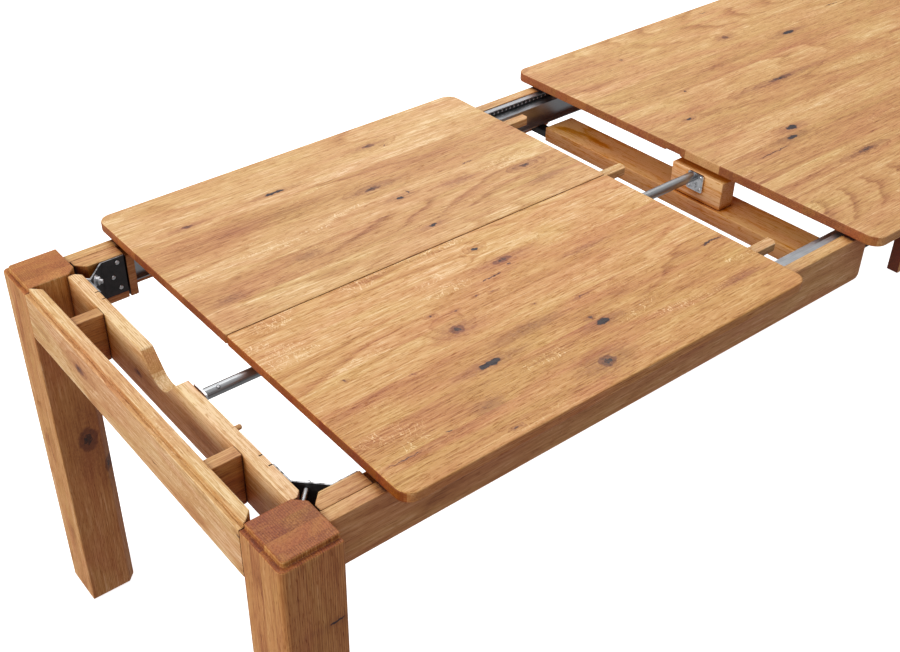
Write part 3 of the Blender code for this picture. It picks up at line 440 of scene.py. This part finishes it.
def paint_frame():
    """Boards of the frame, by the way their grain runs."""
    end_knots = {"round": [(0.1434, 0.711, 0.036, 0.018), (-0.3395, 0.735, 0.010, 0.007)],
                 "smear": [(-0.255, 0.738, 0.080, 0.012), (0.290, 0.700, 0.120, 0.016)],
                 "crack": [(-0.100, 0.690, 0.030, 0.0018)]}
    paint(["pullout_end_apron"],
          oak_material("oak_end_apron", "y", "z", one_board(0.12, 0.41, 0.4), end_knots))
    paint(["main_end_apron"], oak_material("oak_far_end_apron", "y", "z", one_board(0.20, 0.77, 0.4)))
    cross_knots = {"smear": [(-0.10, 0.700, 0.16, 0.030)], "round": [(0.10, 0.695, 0.030, 0.014)]}
    paint(["pullout_cross_board"],
          oak_material("oak_cross_board", "y", "z", one_board(0.07, 0.63, 0.3), cross_knots, ends=1.6))
    for index, side in enumerate(SIDES):
        rows = (   # name, tone, seed, flecks, dark ends, pieces
            ("side_board", 0.20, 0.29 + 0.4 * index, 0.3, 1.0, ("pullout_side_board",)),
            ("corner_board", 0.24, 0.52 + 0.3 * index, 0.5, 1.0,
             ("pullout_corner_board", "pullout_stop_block")),
            # The side aprons' ends are dark end grain, and darker still as painted shade for the ends that
            # lie under the fixed top.
            ("side_apron", 0.24, 0.36 + 0.2 * index, 0.3, 2.2, ("main_side_apron", "main_slide_rail")),
            ("spacer", 0.29, 0.84 - 0.3 * index, 0.2, 1.0, ("pullout_spacer",)),
        )
        for name, tone, seed, fleck, ends, pieces in rows:
            wood = oak_material(f"oak_{name}_{side}", "x", "z", one_board(tone, seed, fleck), ends=ends)
            paint([f"{piece}_{side}" for piece in pieces], wood)
    # The beam and the tube block get a paler, warmer tone than the other boards, as painted light where the
    # tops and the leaf shade them.
    beam = oak_material("oak_cross_beam", "y", "x", [(-0.22, 0.00, 0.59, 0.2), -0.13],
                        {"smear": [(0.21, -0.18, 0.090, 0.020)]}, gloss=0.12, warmth=0.34)
    paint(["cross_beam"], beam)
    paint(["tube_block"],
          oak_material("oak_tube_block", "y", "z", one_board(0.0, 0.69, 0.2, low=0.66), warmth=0.20))
    batten = oak_material("oak_battens", "x", "y", [(-0.46, 0.14, 0.33, 0.2), (0.0, 0.18, 0.61, 0.2), 0.46])
    paint(["leaf_batten_near", "leaf_batten_center", "leaf_batten_far"], batten)


STAVES = 4


def paint_legs():
    """Each leg is laminated from upright staves. Knots lie on the faces seen most."""
    leg_knots = {"pullout_leg_far": {"round": [(0.399, -1.340, 0.062, 0.044), (0.320, -1.309, 0.038, 0.028)],
                                     "smear": [(0.360, -1.325, 0.150, 0.060)]},
                 "pullout_leg_near": {"crack": [(0.610, -1.316, 0.006, 0.030)],
                                      "smear": [(0.500, -1.350, 0.160, 0.030)]},
                 "main_leg_near": {"round": [(0.46, 1.33, 0.030, 0.026)]},
                 "main_leg_far": {"smear": [(0.30, 1.34, 0.160, 0.040)]}}
    for index, (name, knots) in enumerate(leg_knots.items()):
        low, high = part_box(name)
        inner, outer = sorted((abs(low.y), abs(high.y)))
        side = math.copysign(1.0, low.y)
        edges = [side * (inner + step * (outer - inner) / STAVES) for step in range(STAVES + 1)]
        edges.sort()
        staves = []
        for step, edge in enumerate(edges[:-1]):
            tone = 0.25 + 0.05 * ((step * 2 + index) % 3)
            seed = (0.07 + 0.19 * step + 0.13 * index) % 1.0
            staves.append((edge, tone, seed, 0.2))
        shade, ends = (-0.05, 0.8) if name == "pullout_leg_far" else (0.0, 1.0)
        paint([name], oak_material(f"oak_{name}", "z", "y", staves + [edges[-1]], knots, tone=shade,
                                   warmth=0.04, knots_across="x", ends=ends))


# ---------------------------------------------------------------- metal and plastic
def steel_material(name, color, rough, stretch, wear=0.25, dents_and_painted_reflection=0.0):
    """Drawn or plated steel with fine lines along one axis and faint cloudy staining.

    Dents make its reflections break up, and they also deepen its darkest colour as a painted reflection.
    """
    material, g, shader = new_material(name)
    place = object_place(g)
    lines = g.noise(g.vector("MULTIPLY", place, stretch), detail=3.0)
    clouds = g.noise(g.vector("MULTIPLY", place, (38.0, 38.0, 38.0)), detail=3.0)
    shade = g.total((g.math("SUBTRACT", lines, 0.5), 0.5),
                    (g.math("SUBTRACT", clouds, 0.5), wear * 2), (0.5, 1.0))
    # Painted reflection: the dents deepen the darkest colour, for the black and white mirror pattern of
    # chrome.
    dark = tuple(channel * (0.62 - dents_and_painted_reflection * 0.05) for channel in color)
    light = tuple(min(1.0, channel * 1.22) for channel in color)
    stops = [(0.15 + dents_and_painted_reflection * 0.02, dark), (0.5, color), (0.9, light)]
    g.plug(g.ramp(shade, stops).outputs[0], shader.inputs["Base Color"])
    roughness = g.total((lines, 0.16), (clouds, 0.20), (rough - 0.18, 1.0))
    g.plug(roughness, shader.inputs["Roughness"])
    relief = lines
    if dents_and_painted_reflection:
        dented = g.noise(g.vector("MULTIPLY", place, (170.0, 170.0, 170.0)), detail=1.0)
        relief = g.total((lines, 1.0), (dented, dents_and_painted_reflection))
    g.plug(bump(g, relief, 0.00008, 0.5), shader.inputs["Normal"])
    shader.inputs["Metallic"].default_value = 1.0
    return material


def black_paint_material():
    """Black powder coat with orange peel, with patches of grey metal on faces that point up."""
    material, g, shader = new_material("black_powder_coat")
    place = object_place(g)
    normal = g.node("ShaderNodeTexCoord").outputs["Normal"]
    peel = g.noise(g.vector("MULTIPLY", place, (900.0, 900.0, 900.0)), detail=2.0)
    patches = g.noise(g.vector("MULTIPLY", place, (120.0, 120.0, 120.0)), detail=4.0)
    upward = g.step(g.separate(normal)[2], 0.5, 0.9)
    # Patches on faces that point up turn to grey metal.
    grey_upward_patches = g.math("MULTIPLY", upward, g.step(patches, 0.30, 0.60))
    coat = g.ramp(patches, [(0.3, (0.010, 0.010, 0.011)), (0.7, (0.030, 0.030, 0.032))]).outputs[0]
    g.plug(g.mix(grey_upward_patches, coat, (0.42, 0.42, 0.43, 1.0)), shader.inputs["Base Color"])
    g.plug(g.math("MULTIPLY", grey_upward_patches, 0.9), shader.inputs["Metallic"])
    g.plug(g.total((peel, 0.25), (patches, 0.12), (0.22, 1.0)), shader.inputs["Roughness"])
    g.plug(bump(g, peel, 0.0002, 0.5), shader.inputs["Normal"])
    return material


def black_plastic_material():
    """Moulded black plastic with a fine spark texture."""
    material, g, shader = new_material("black_moulded_plastic")
    place = object_place(g)
    spark = g.noise(g.vector("MULTIPLY", place, (1600.0, 1600.0, 1600.0)), detail=2.0)
    flow = g.noise(g.vector("MULTIPLY", place, (60.0, 60.0, 60.0)), detail=2.0)
    stops = [(0.25, (0.012, 0.012, 0.013)), (0.75, (0.034, 0.034, 0.036))]
    g.plug(g.ramp(g.total((spark, 0.5), (flow, 0.5)), stops).outputs[0], shader.inputs["Base Color"])
    g.plug(g.total((spark, 0.20), (flow, 0.15), (0.30, 1.0)), shader.inputs["Roughness"])
    g.plug(bump(g, spark, 0.00015, 0.6), shader.inputs["Normal"])
    return material


SLIDE_STEEL = steel_material("zinc_plated_steel", (0.42, 0.43, 0.45), 0.34, (14.0, 420.0, 420.0))
TUBE_STEEL = steel_material("drawn_tube_steel", (0.40, 0.41, 0.42), 0.30, (9.0, 700.0, 700.0), 0.15)
SCREW_STEEL = steel_material("screw_steel", (0.76, 0.76, 0.78), 0.30, (300.0, 300.0, 300.0))
# The chrome's dents paint dark reflections into its colour.
FLANGE_CHROME = steel_material("bright_chrome", (0.80, 0.81, 0.84), 0.16, (160.0, 160.0, 160.0), 0.10,
                               dents_and_painted_reflection=9.0)
BLACK_PAINT = black_paint_material()
BLACK_PLASTIC = black_plastic_material()


def paint_hardware():
    """Slides, tube, flanges, fasteners, brackets, cages and bearing blocks."""
    slides = [f"{member}_slide_{side}" for member in ("outer", "middle", "inner") for side in SIDES]
    paint(slides, SLIDE_STEEL)
    paint(["pivot_tube"], TUBE_STEEL)
    paint(["tube_flange_left", "tube_flange_right"], FLANGE_CHROME)
    fasteners = [f"{end}_{piece}_{side}" for end in ("main", "pullout")
                 for piece in ("hanger_bolt", "bolt_nut") for side in SIDES]
    hinges = [f"seam_hinge_{place}_{side}_half" for place in ("left", "right") for side in SIDES]
    paint(fasteners + hinges, SCREW_STEEL)
    paint([f"{end}_corner_bracket_{side}" for end in ("main", "pullout") for side in SIDES], BLACK_PAINT)
    plastic = ["ball_cage", "beam_end_block"]
    paint([f"{piece}_{side}" for piece in plastic for side in SIDES], BLACK_PLASTIC)
    paint(["leaf_bearing_left", "leaf_bearing_right"], BLACK_PLASTIC)


# ---------------------------------------------------------------- fine pieces
GAP = 0.0003       # what touching CAD solids keep between them


def solid_piece(name, data, material, body, replaced=(), smooth_angle=0.6):
    """A mesh piece in world place, shaded smooth between its sharp edges, riding on a body."""
    bmesh.ops.recalc_face_normals(data, faces=data.faces)
    mesh = bpy.data.meshes.new(name)
    data.to_mesh(mesh)
    data.free()
    mesh.materials.append(material)
    mesh.shade_smooth()
    mesh.set_sharp_from_angle(angle=smooth_angle)
    piece = bpy.data.objects.new(name, mesh)
    bpy.context.scene.collection.objects.link(piece)
    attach(piece, body)
    if replaced:
        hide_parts(*replaced)
    return piece


def frame_along(origin, axis, up=(0.0, 0.0, 1.0)):
    """Matrix that puts local +Z along an axis at an origin."""
    z = Vector(axis).normalized()
    x = Vector(up).cross(z)
    if x.length < 0.01:
        x = Vector((1.0, 0.0, 0.0))
    x.normalize()
    y = z.cross(x)
    turn = Matrix((x, y, z)).transposed().to_4x4()
    return Matrix.Translation(Vector(origin)) @ turn


def turned(profile, count=32):
    """A solid turned about Z from (radius, height) points. A zero radius closes an end."""
    data = bmesh.new()
    rings = []
    for radius, height in profile:
        if radius == 0.0:
            rings.append([data.verts.new((0.0, 0.0, height))])
            continue
        rings.append([data.verts.new((radius * math.cos(math.tau * step / count),
                                      radius * math.sin(math.tau * step / count), height))
                      for step in range(count)])
    for lower, upper in zip(rings, rings[1:]):
        for step in range(count):
            after = (step + 1) % count
            corners = [lower[step % len(lower)], lower[after % len(lower)],
                       upper[after % len(upper)], upper[step % len(upper)]]
            data.faces.new(list(dict.fromkeys(corners)))
    return data


def cut_mesh(data, cutter, operation="DIFFERENCE"):
    """The solid left after a Boolean of two bmesh solids, as a mesh."""
    items = []
    for part in (data, cutter):
        bmesh.ops.recalc_face_normals(part, faces=part.faces)
        mesh = bpy.data.meshes.new("work")
        part.to_mesh(mesh)
        part.free()
        item = bpy.data.objects.new("work", mesh)
        bpy.context.scene.collection.objects.link(item)
        items.append(item)
    modifier = items[0].modifiers.new("cut", "BOOLEAN")
    modifier.operation = operation
    modifier.object = items[1]
    graph = bpy.context.evaluated_depsgraph_get()
    result = bpy.data.meshes.new_from_object(items[0].evaluated_get(graph))
    for item in items:
        bpy.data.objects.remove(item)
    return result


def placed(parts):
    """One bmesh from (mesh, matrix) pairs."""
    data = bmesh.new()
    for mesh, matrix in parts:
        first = len(data.verts)
        data.from_mesh(mesh)
        data.verts.ensure_lookup_table()
        bmesh.ops.transform(data, matrix=matrix, verts=data.verts[first:])
    return data


def block(size, center=(0.0, 0.0, 0.0)):
    """A cutter in the shape of a box."""
    data = bmesh.new()
    bmesh.ops.create_cube(data, size=1.0)
    bmesh.ops.scale(data, vec=size, verts=data.verts)
    bmesh.ops.translate(data, vec=center, verts=data.verts)
    return data


def screw_mesh(radius, height):
    """Raised screw head with a cross recess. Its seat is at z = 0."""
    seat = -GAP / 3
    head = turned([(0.0, seat), (radius, seat), (radius, height * 0.18), (radius * 0.93, height * 0.55),
                   (radius * 0.70, height * 0.88), (radius * 0.35, height), (0.0, height)], 28)
    slot_width, slot_length, slot_floor = radius * 0.24, radius * 1.15, height * 0.35
    cross = block((slot_length, slot_width, height * 2), (0.0, 0.0, slot_floor + height))
    other = block((slot_width, slot_length, height * 2), (0.0, 0.0, slot_floor + height))
    once = cut_mesh(head, cross)
    data = bmesh.new()
    data.from_mesh(once)
    return cut_mesh(data, other)


def nut_mesh(across_flats, thickness, bore):
    """Hexagon nut with both faces chamfered, from z = 0 up."""
    corner = across_flats / math.sqrt(3)
    clear = 0.0001     # the chamfering barrel passes just outside the corners
    past = 0.001       # how far the drill passes both faces
    hexagon = turned([(corner, 0.0), (corner, thickness)], 6)
    bmesh.ops.holes_fill(hexagon, edges=hexagon.edges)
    chamfer = corner * 0.10
    barrel = turned([(0.0, 0.0), (corner - chamfer * 1.3, 0.0), (corner + clear, chamfer * 0.8),
                     (corner + clear, thickness - chamfer * 0.8), (corner - chamfer * 1.3, thickness),
                     (0.0, thickness)], 48)
    data = bmesh.new()
    data.from_mesh(cut_mesh(hexagon, barrel, "INTERSECT"))
    hole = turned([(0.0, -past), (bore, -past), (bore, thickness + past), (0.0, thickness + past)], 24)
    return cut_mesh(data, hole)


def washer_mesh(outer, bore, thickness):
    """Flat washer with bevelled rims, from z = 0 up."""
    edge = thickness * 0.25
    profile = [(bore, 0.0), (outer - edge, 0.0), (outer, edge), (outer, thickness - edge),
               (outer - edge, thickness), (bore, thickness), (bore, 0.0)]
    data = turned(profile, 40)
    bmesh.ops.remove_doubles(data, verts=data.verts, dist=0.00001)
    mesh = bpy.data.meshes.new("washer")
    data.to_mesh(mesh)
    data.free()
    return mesh


def threaded_rod(radius, length, pitch, depth, around=20, rows=5):
    """A rod along Z, centred, with a helical thread."""
    data = bmesh.new()
    count = int(length / pitch * rows)
    rings = []
    for row in range(count + 1):
        height = -length / 2 + length * row / count
        lead_in = min(1.0, (length / 2 - abs(height)) / (pitch * 0.8))
        ring = []
        for step in range(around):
            angle = math.tau * step / around
            turn = height / pitch - angle / math.tau
            groove = abs(2.0 * (turn - math.floor(turn)) - 1.0)
            size = radius - depth * max(groove, 1.0 - lead_in)
            ring.append(data.verts.new((size * math.cos(angle), size * math.sin(angle), height)))
        rings.append(ring)
    for lower, upper in zip(rings, rings[1:]):
        for step in range(around):
            after = (step + 1) % around
            data.faces.new((lower[step], lower[after], upper[after], upper[step]))
    data.faces.new(rings[0][::-1])
    data.faces.new(rings[-1])
    return data


BRACKET_FLANGE = 0.0435
BRACKET_METAL = 0.0025
SCREW_STEPS = ((0.0302, 0.0102), (0.0190, 0.0369), (0.0304, 0.0617))   # past the bend, below the top
THREAD_PITCH = 0.00125
THREAD_DEPTH = 0.00062
NUT_ACROSS_FLATS = 0.013
NUT_THICKNESS = 0.0065
NUT_CLEARANCE = 0.0002
WASHER_RADIUS = 0.0105
WASHER_THICKNESS = 0.0016
WASHER_CLEARANCE = 0.0003
WASHER_TO_NUT = 0.0001


def build_corner_fittings(end, side, body):
    """Thread, chamfered nut, washer and six flange screws of one corner bracket."""
    low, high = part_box(f"{end}_corner_bracket_{side}")
    inward_x = 1 if end == "pullout" else -1
    inward_y = -SIDES[side]
    corner_x = low.x if inward_x > 0 else high.x
    corner_y = low.y if inward_y > 0 else high.y
    bend = high.x - low.x - BRACKET_FLANGE   # from the corner to where each flange starts
    heads = []
    for past_bend, below_top in SCREW_STEPS:
        reach, height = bend + past_bend, high.z - below_top
        on_side = (corner_x + inward_x * reach, corner_y + inward_y * BRACKET_METAL, height)
        heads.append((FLANGE_SCREW, frame_along(on_side, (0.0, inward_y, 0.0))))
        on_end = (corner_x + inward_x * BRACKET_METAL, corner_y + inward_y * reach, height)
        heads.append((FLANGE_SCREW, frame_along(on_end, (inward_x, 0.0, 0.0))))
    solid_piece(f"{end}_bracket_screws_{side}", placed(heads), SCREW_STEEL, body)

    axis = Vector((inward_x, inward_y, 0.0)).normalized()
    bolt_low, bolt_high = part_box(f"{end}_hanger_bolt_{side}")
    radius = (bolt_high.z - bolt_low.z) / 2
    length = (bolt_high.x - bolt_low.x) * math.sqrt(2) - 2 * radius
    rod = threaded_rod(radius, length, THREAD_PITCH, THREAD_DEPTH)
    bmesh.ops.transform(rod, matrix=frame_along((bolt_low + bolt_high) / 2, axis), verts=rod.verts)
    solid_piece(f"{end}_threaded_bolt_{side}", rod, SCREW_STEEL, body,
                [f"{end}_hanger_bolt_{side}"], smooth_angle=1.2)

    nut_low, nut_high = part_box(f"{end}_bolt_nut_{side}")
    seat = (nut_low + nut_high) / 2 - axis * NUT_THICKNESS / 2
    nut = nut_mesh(NUT_ACROSS_FLATS, NUT_THICKNESS, radius + NUT_CLEARANCE)
    ring = washer_mesh(WASHER_RADIUS, radius + WASHER_CLEARANCE, WASHER_THICKNESS)
    nut_seat = seat + axis * (WASHER_THICKNESS + WASHER_TO_NUT)
    parts = [(ring, frame_along(seat, axis)), (nut, frame_along(nut_seat, axis))]
    solid_piece(f"{end}_flanged_nut_{side}", placed(parts), SCREW_STEEL, body,
                [f"{end}_bolt_nut_{side}"])


TUBE_SCREW_X = -1.2633
TUBE_SCREW_TURN = math.radians(33.5)   # from straight up towards the near side
TUBE_SURFACE = 0.0095
INSIDE_TUBE = 0.0086
# Profiles of (radius on the tube's skin, distance from the tube's axis).
# The recess profile is a thin black ring on the tube's skin, as painted shade for the hollow round the stop
# screw.
RECESS_SHADE_PROFILE = ((0.0019, INSIDE_TUBE), (0.0019, 0.00958), (0.0036, 0.00960), (0.0036, INSIDE_TUBE))
STOP_SCREW_PROFILE = ((0.0, INSIDE_TUBE), (0.0, 0.00950), (0.0006, 0.00950), (0.0007, 0.00964),
                      (0.0015, 0.00964), (0.0018, 0.00952), (0.0018, INSIDE_TUBE))
FLANGE_SCREW_INSET = 0.0058
FLANGE_SCREW_CLEAR = 0.0145   # a screw is left out where it would be nearer the tube's axis


def patch_on_tube(center, profile, around=40):
    """A turned profile wrapped round the tube.

    It stays inside the running gap of the bearings, so they slide over it.
    """
    data = bmesh.new()
    rings = []
    for reach, height in profile:
        ring = []
        for step in range(around):
            angle = math.tau * step / around
            turn = TUBE_SCREW_TURN - reach * math.sin(angle) / TUBE_SURFACE
            ring.append(data.verts.new((center.x + reach * math.cos(angle),
                                        center.y - height * math.sin(turn),
                                        center.z + height * math.cos(turn))))
        rings.append(ring)
    for lower, upper in zip(rings, rings[1:] + rings[:1]):
        for step in range(around):
            after = (step + 1) % around
            data.faces.new((lower[step], lower[after], upper[after], upper[step]))
    bmesh.ops.remove_doubles(data, verts=data.verts, dist=0.000005)
    loose = [edge for edge in data.edges if not edge.link_faces]
    bmesh.ops.delete(data, geom=loose, context="EDGES")
    return data


def build_tube_fittings():
    """Screws of the two tube flanges, and the stop screw in the tube with a black ring of painted shade round
    it.
    """
    left_low, left_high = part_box("tube_flange_left")
    right_low, right_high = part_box("tube_flange_right")
    tube_low, tube_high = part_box("pivot_tube")
    tube_middle = (tube_low + tube_high) / 2
    flanges = ((left_low, left_high, left_high.x, 1), (right_low, right_high, right_low.x, -1))
    heads = []
    for low, high, face_x, direction in flanges:
        for y in (low.y + FLANGE_SCREW_INSET, high.y - FLANGE_SCREW_INSET):
            for z in (low.z + FLANGE_SCREW_INSET, high.z - FLANGE_SCREW_INSET):
                if Vector((y - tube_middle.y, z - tube_middle.z)).length > FLANGE_SCREW_CLEAR:
                    heads.append((PLATE_SCREW, frame_along((face_x, y, z), (direction, 0.0, 0.0))))
    solid_piece("tube_flange_screws", placed(heads), SCREW_STEEL, "pullout_frame")
    center = Vector((TUBE_SCREW_X, tube_middle.y, tube_middle.z))
    # A black ring round the stop screw is painted shade for the hollow it sits in.
    recess = patch_on_tube(center, RECESS_SHADE_PROFILE)
    solid_piece("tube_screw_recess_shade", recess, BLACK_PAINT, "pullout_frame")
    pin = patch_on_tube(center, STOP_SCREW_PROFILE)
    solid_piece("tube_stop_screw", pin, SCREW_STEEL, "pullout_frame")


BALL_RADIUS = 0.0048
BALL_PITCH = 0.0112
BALL_SINK = 0.86    # of the radius, from the cage's inner face out to the ball's middle
SLIDE_WALL = 0.002


def build_bearing_balls():
    """Steel balls along both races of each slide's cage."""
    ball = bmesh.new()
    bmesh.ops.create_icosphere(ball, subdivisions=2, radius=BALL_RADIUS)
    mesh = bpy.data.meshes.new("ball")
    ball.to_mesh(mesh)
    ball.free()
    for side, sign in SIDES.items():
        low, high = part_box(f"ball_cage_{side}")
        middle_low, middle_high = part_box(f"middle_slide_{side}")
        outer_low, outer_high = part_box(f"outer_slide_{side}")
        inner_face = high.y if sign < 0 else low.y
        y = inner_face + sign * BALL_RADIUS * BALL_SINK
        upper = (middle_high.z + outer_high.z - SLIDE_WALL) / 2
        lower = (middle_low.z + outer_low.z + SLIDE_WALL) / 2
        count = int((high.x - low.x) / BALL_PITCH)
        places = [(low.x + BALL_PITCH * (index + 0.5), y, z)
                  for index in range(count) for z in (upper, lower)]
        data = placed([(mesh, Matrix.Translation(place)) for place in places])
        solid_piece(f"bearing_balls_{side}", data, SCREW_STEEL, f"ball_cage_{side}_body",
                    smooth_angle=2.0)


PEG_Y, PEG_Z = -0.1686, 0.7478
PEG_RADIUS = 0.0043
PEG_PROFILE = ((0.0, -0.006), (PEG_RADIUS, -0.006), (PEG_RADIUS, 0.0065), (PEG_RADIUS * 0.9, 0.0082),
               (PEG_RADIUS * 0.6, 0.0095), (0.0, 0.0099))


def build_bumper_peg():
    """A round wooden peg that cushions the leaf against the inner board."""
    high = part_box("pullout_cross_board")[1]
    wood = oak_material("oak_pegs", "x", "y", [(-0.46, 0.26, 0.42, 0.1), 0.46])
    shape = turned(PEG_PROFILE, 24)
    mesh = bpy.data.meshes.new("peg")
    shape.to_mesh(mesh)
    shape.free()
    data = placed([(mesh, frame_along((high.x, PEG_Y, PEG_Z), (1.0, 0.0, 0.0)))])
    solid_piece("bumper_peg", data, wood, "pullout_frame")


# ---------------------------------------------------------------- stage, lights, camera
FLOOR_HALF = 14.0


def build_stage():
    """A pale floor, clear from below so the underside can be looked at."""
    data = bmesh.new()
    bmesh.ops.create_grid(data, x_segments=2, y_segments=2, size=FLOOR_HALF)
    mesh = bpy.data.meshes.new("floor")
    data.to_mesh(mesh)
    data.free()
    floor = bpy.data.objects.new("floor", mesh)
    bpy.context.scene.collection.objects.link(floor)
    material, g, shader = new_material("pale_floor")
    shader.inputs["Base Color"].default_value = (0.90, 0.90, 0.90, 1.0)
    shader.inputs["Roughness"].default_value = 0.9
    shader.inputs["Emission Color"].default_value = (1.0, 1.0, 1.0, 1.0)
    shader.inputs["Emission Strength"].default_value = 0.75
    from_below = g.node("ShaderNodeNewGeometry").outputs["Backfacing"]
    clear = g.node("ShaderNodeBsdfTransparent").outputs["BSDF"]
    surface = g.node("ShaderNodeMixShader", {0: from_below, 1: shader.outputs["BSDF"], 2: clear})
    g.plug(surface.outputs[0], material.node_tree.nodes["Material Output"].inputs["Surface"])
    mesh.materials.append(material)
    floor.visible_diffuse = False
    floor.visible_glossy = False


def add_light(name, place, target, size, power, color=(1.0, 1.0, 1.0)):
    """A square soft light, aimed at a target."""
    lamp = bpy.data.lights.new(name, "AREA")
    lamp.size = size
    lamp.energy = power
    lamp.color = color
    item = bpy.data.objects.new(name, lamp)
    item.location = place
    item.rotation_euler = (Vector(target) - Vector(place)).to_track_quat("-Z", "Y").to_euler()
    bpy.context.scene.collection.objects.link(item)


def build_lights():
    """Light comes from above and from the pull-out end. The near side is left in warm half shade.

    The world is warm from below for the wood, plain for reflections, and pale as a backdrop.
    """
    add_light("overhead", (0.4, 1.2, 3.4), (-0.2, 0.1, 0.7), 3.0, 50.0)
    add_light("end_light", (-8.0, 1.6, 4.0), (-0.8, 0.0, 0.6), 3.2, 330.0, (1.0, 0.98, 0.96))
    add_light("sheen_light", (2.6, 4.2, 3.0), (0.0, 0.0, 0.75), 2.2, 12.0)
    world = bpy.data.worlds.new("soft_room")
    bpy.context.scene.world = world
    world.use_nodes = True
    g = Graph(world.node_tree)
    background = world.node_tree.nodes["Background"]
    x, _, z = g.separate(g.node("ShaderNodeTexCoord").outputs["Generated"])
    above = g.step(z, -0.05, 0.75)
    at_end = g.math("MULTIPLY", g.step(x, -0.1, -0.9), g.step(z, -0.9, 0.1))
    below = g.step(z, 0.25, -0.35)
    neutral = g.total((above, 0.50), (at_end, 0.26), (0.11, 1.0))
    diffuse = [g.total((neutral, 1.0), (below, amount)) for amount in (0.16, 0.004, 0.0)]
    mirrored = g.total((neutral, 1.0), (below, 0.20))
    rays = g.node("ShaderNodeLightPath").outputs
    sky = g.mix(rays["Is Glossy Ray"], g.combine(*diffuse), g.combine(mirrored, mirrored, mirrored))
    backdrop = g.mix(rays["Is Camera Ray"], sky, (0.94, 0.94, 0.94, 1.0))
    g.plug(backdrop, background.inputs["Color"])


def build_camera():
    """The camera stands past the near corner of the pull-out end and looks down on the leaf."""
    right = Vector((0.8075, -0.5892, -0.0270))
    up = Vector((0.3577, 0.4528, 0.8167))
    back = right.cross(up).normalized()
    up = back.cross(right).normalized()
    turn = Matrix((right.normalized(), up, back)).transposed().to_4x4()
    lens = bpy.data.cameras.new("camera")
    lens.sensor_width = 36.0
    lens.lens = 47.71
    lens.shift_x = 0.0996
    lens.shift_y = -0.0127
    camera = bpy.data.objects.new("camera", lens)
    camera.matrix_world = Matrix.Translation((-1.8877, -1.3310, 1.8497)) @ turn
    bpy.context.scene.collection.objects.link(camera)
    bpy.context.scene.camera = camera
    bpy.context.scene.view_settings.view_transform = "Standard"


# ---------------------------------------------------------------- build
paint_tops()
paint_frame()
paint_legs()
paint_hardware()
FLANGE_SCREW = screw_mesh(radius=0.0041, height=0.0020)
PLATE_SCREW = screw_mesh(radius=0.0031, height=0.0018)
for end, body in (("pullout", "pullout_frame"), ("main", "main_table")):
    for side in SIDES:
        build_corner_fittings(end, side, body)
build_tube_fittings()
build_bearing_balls()
build_bumper_peg()
build_stage()
build_lights()
build_camera()
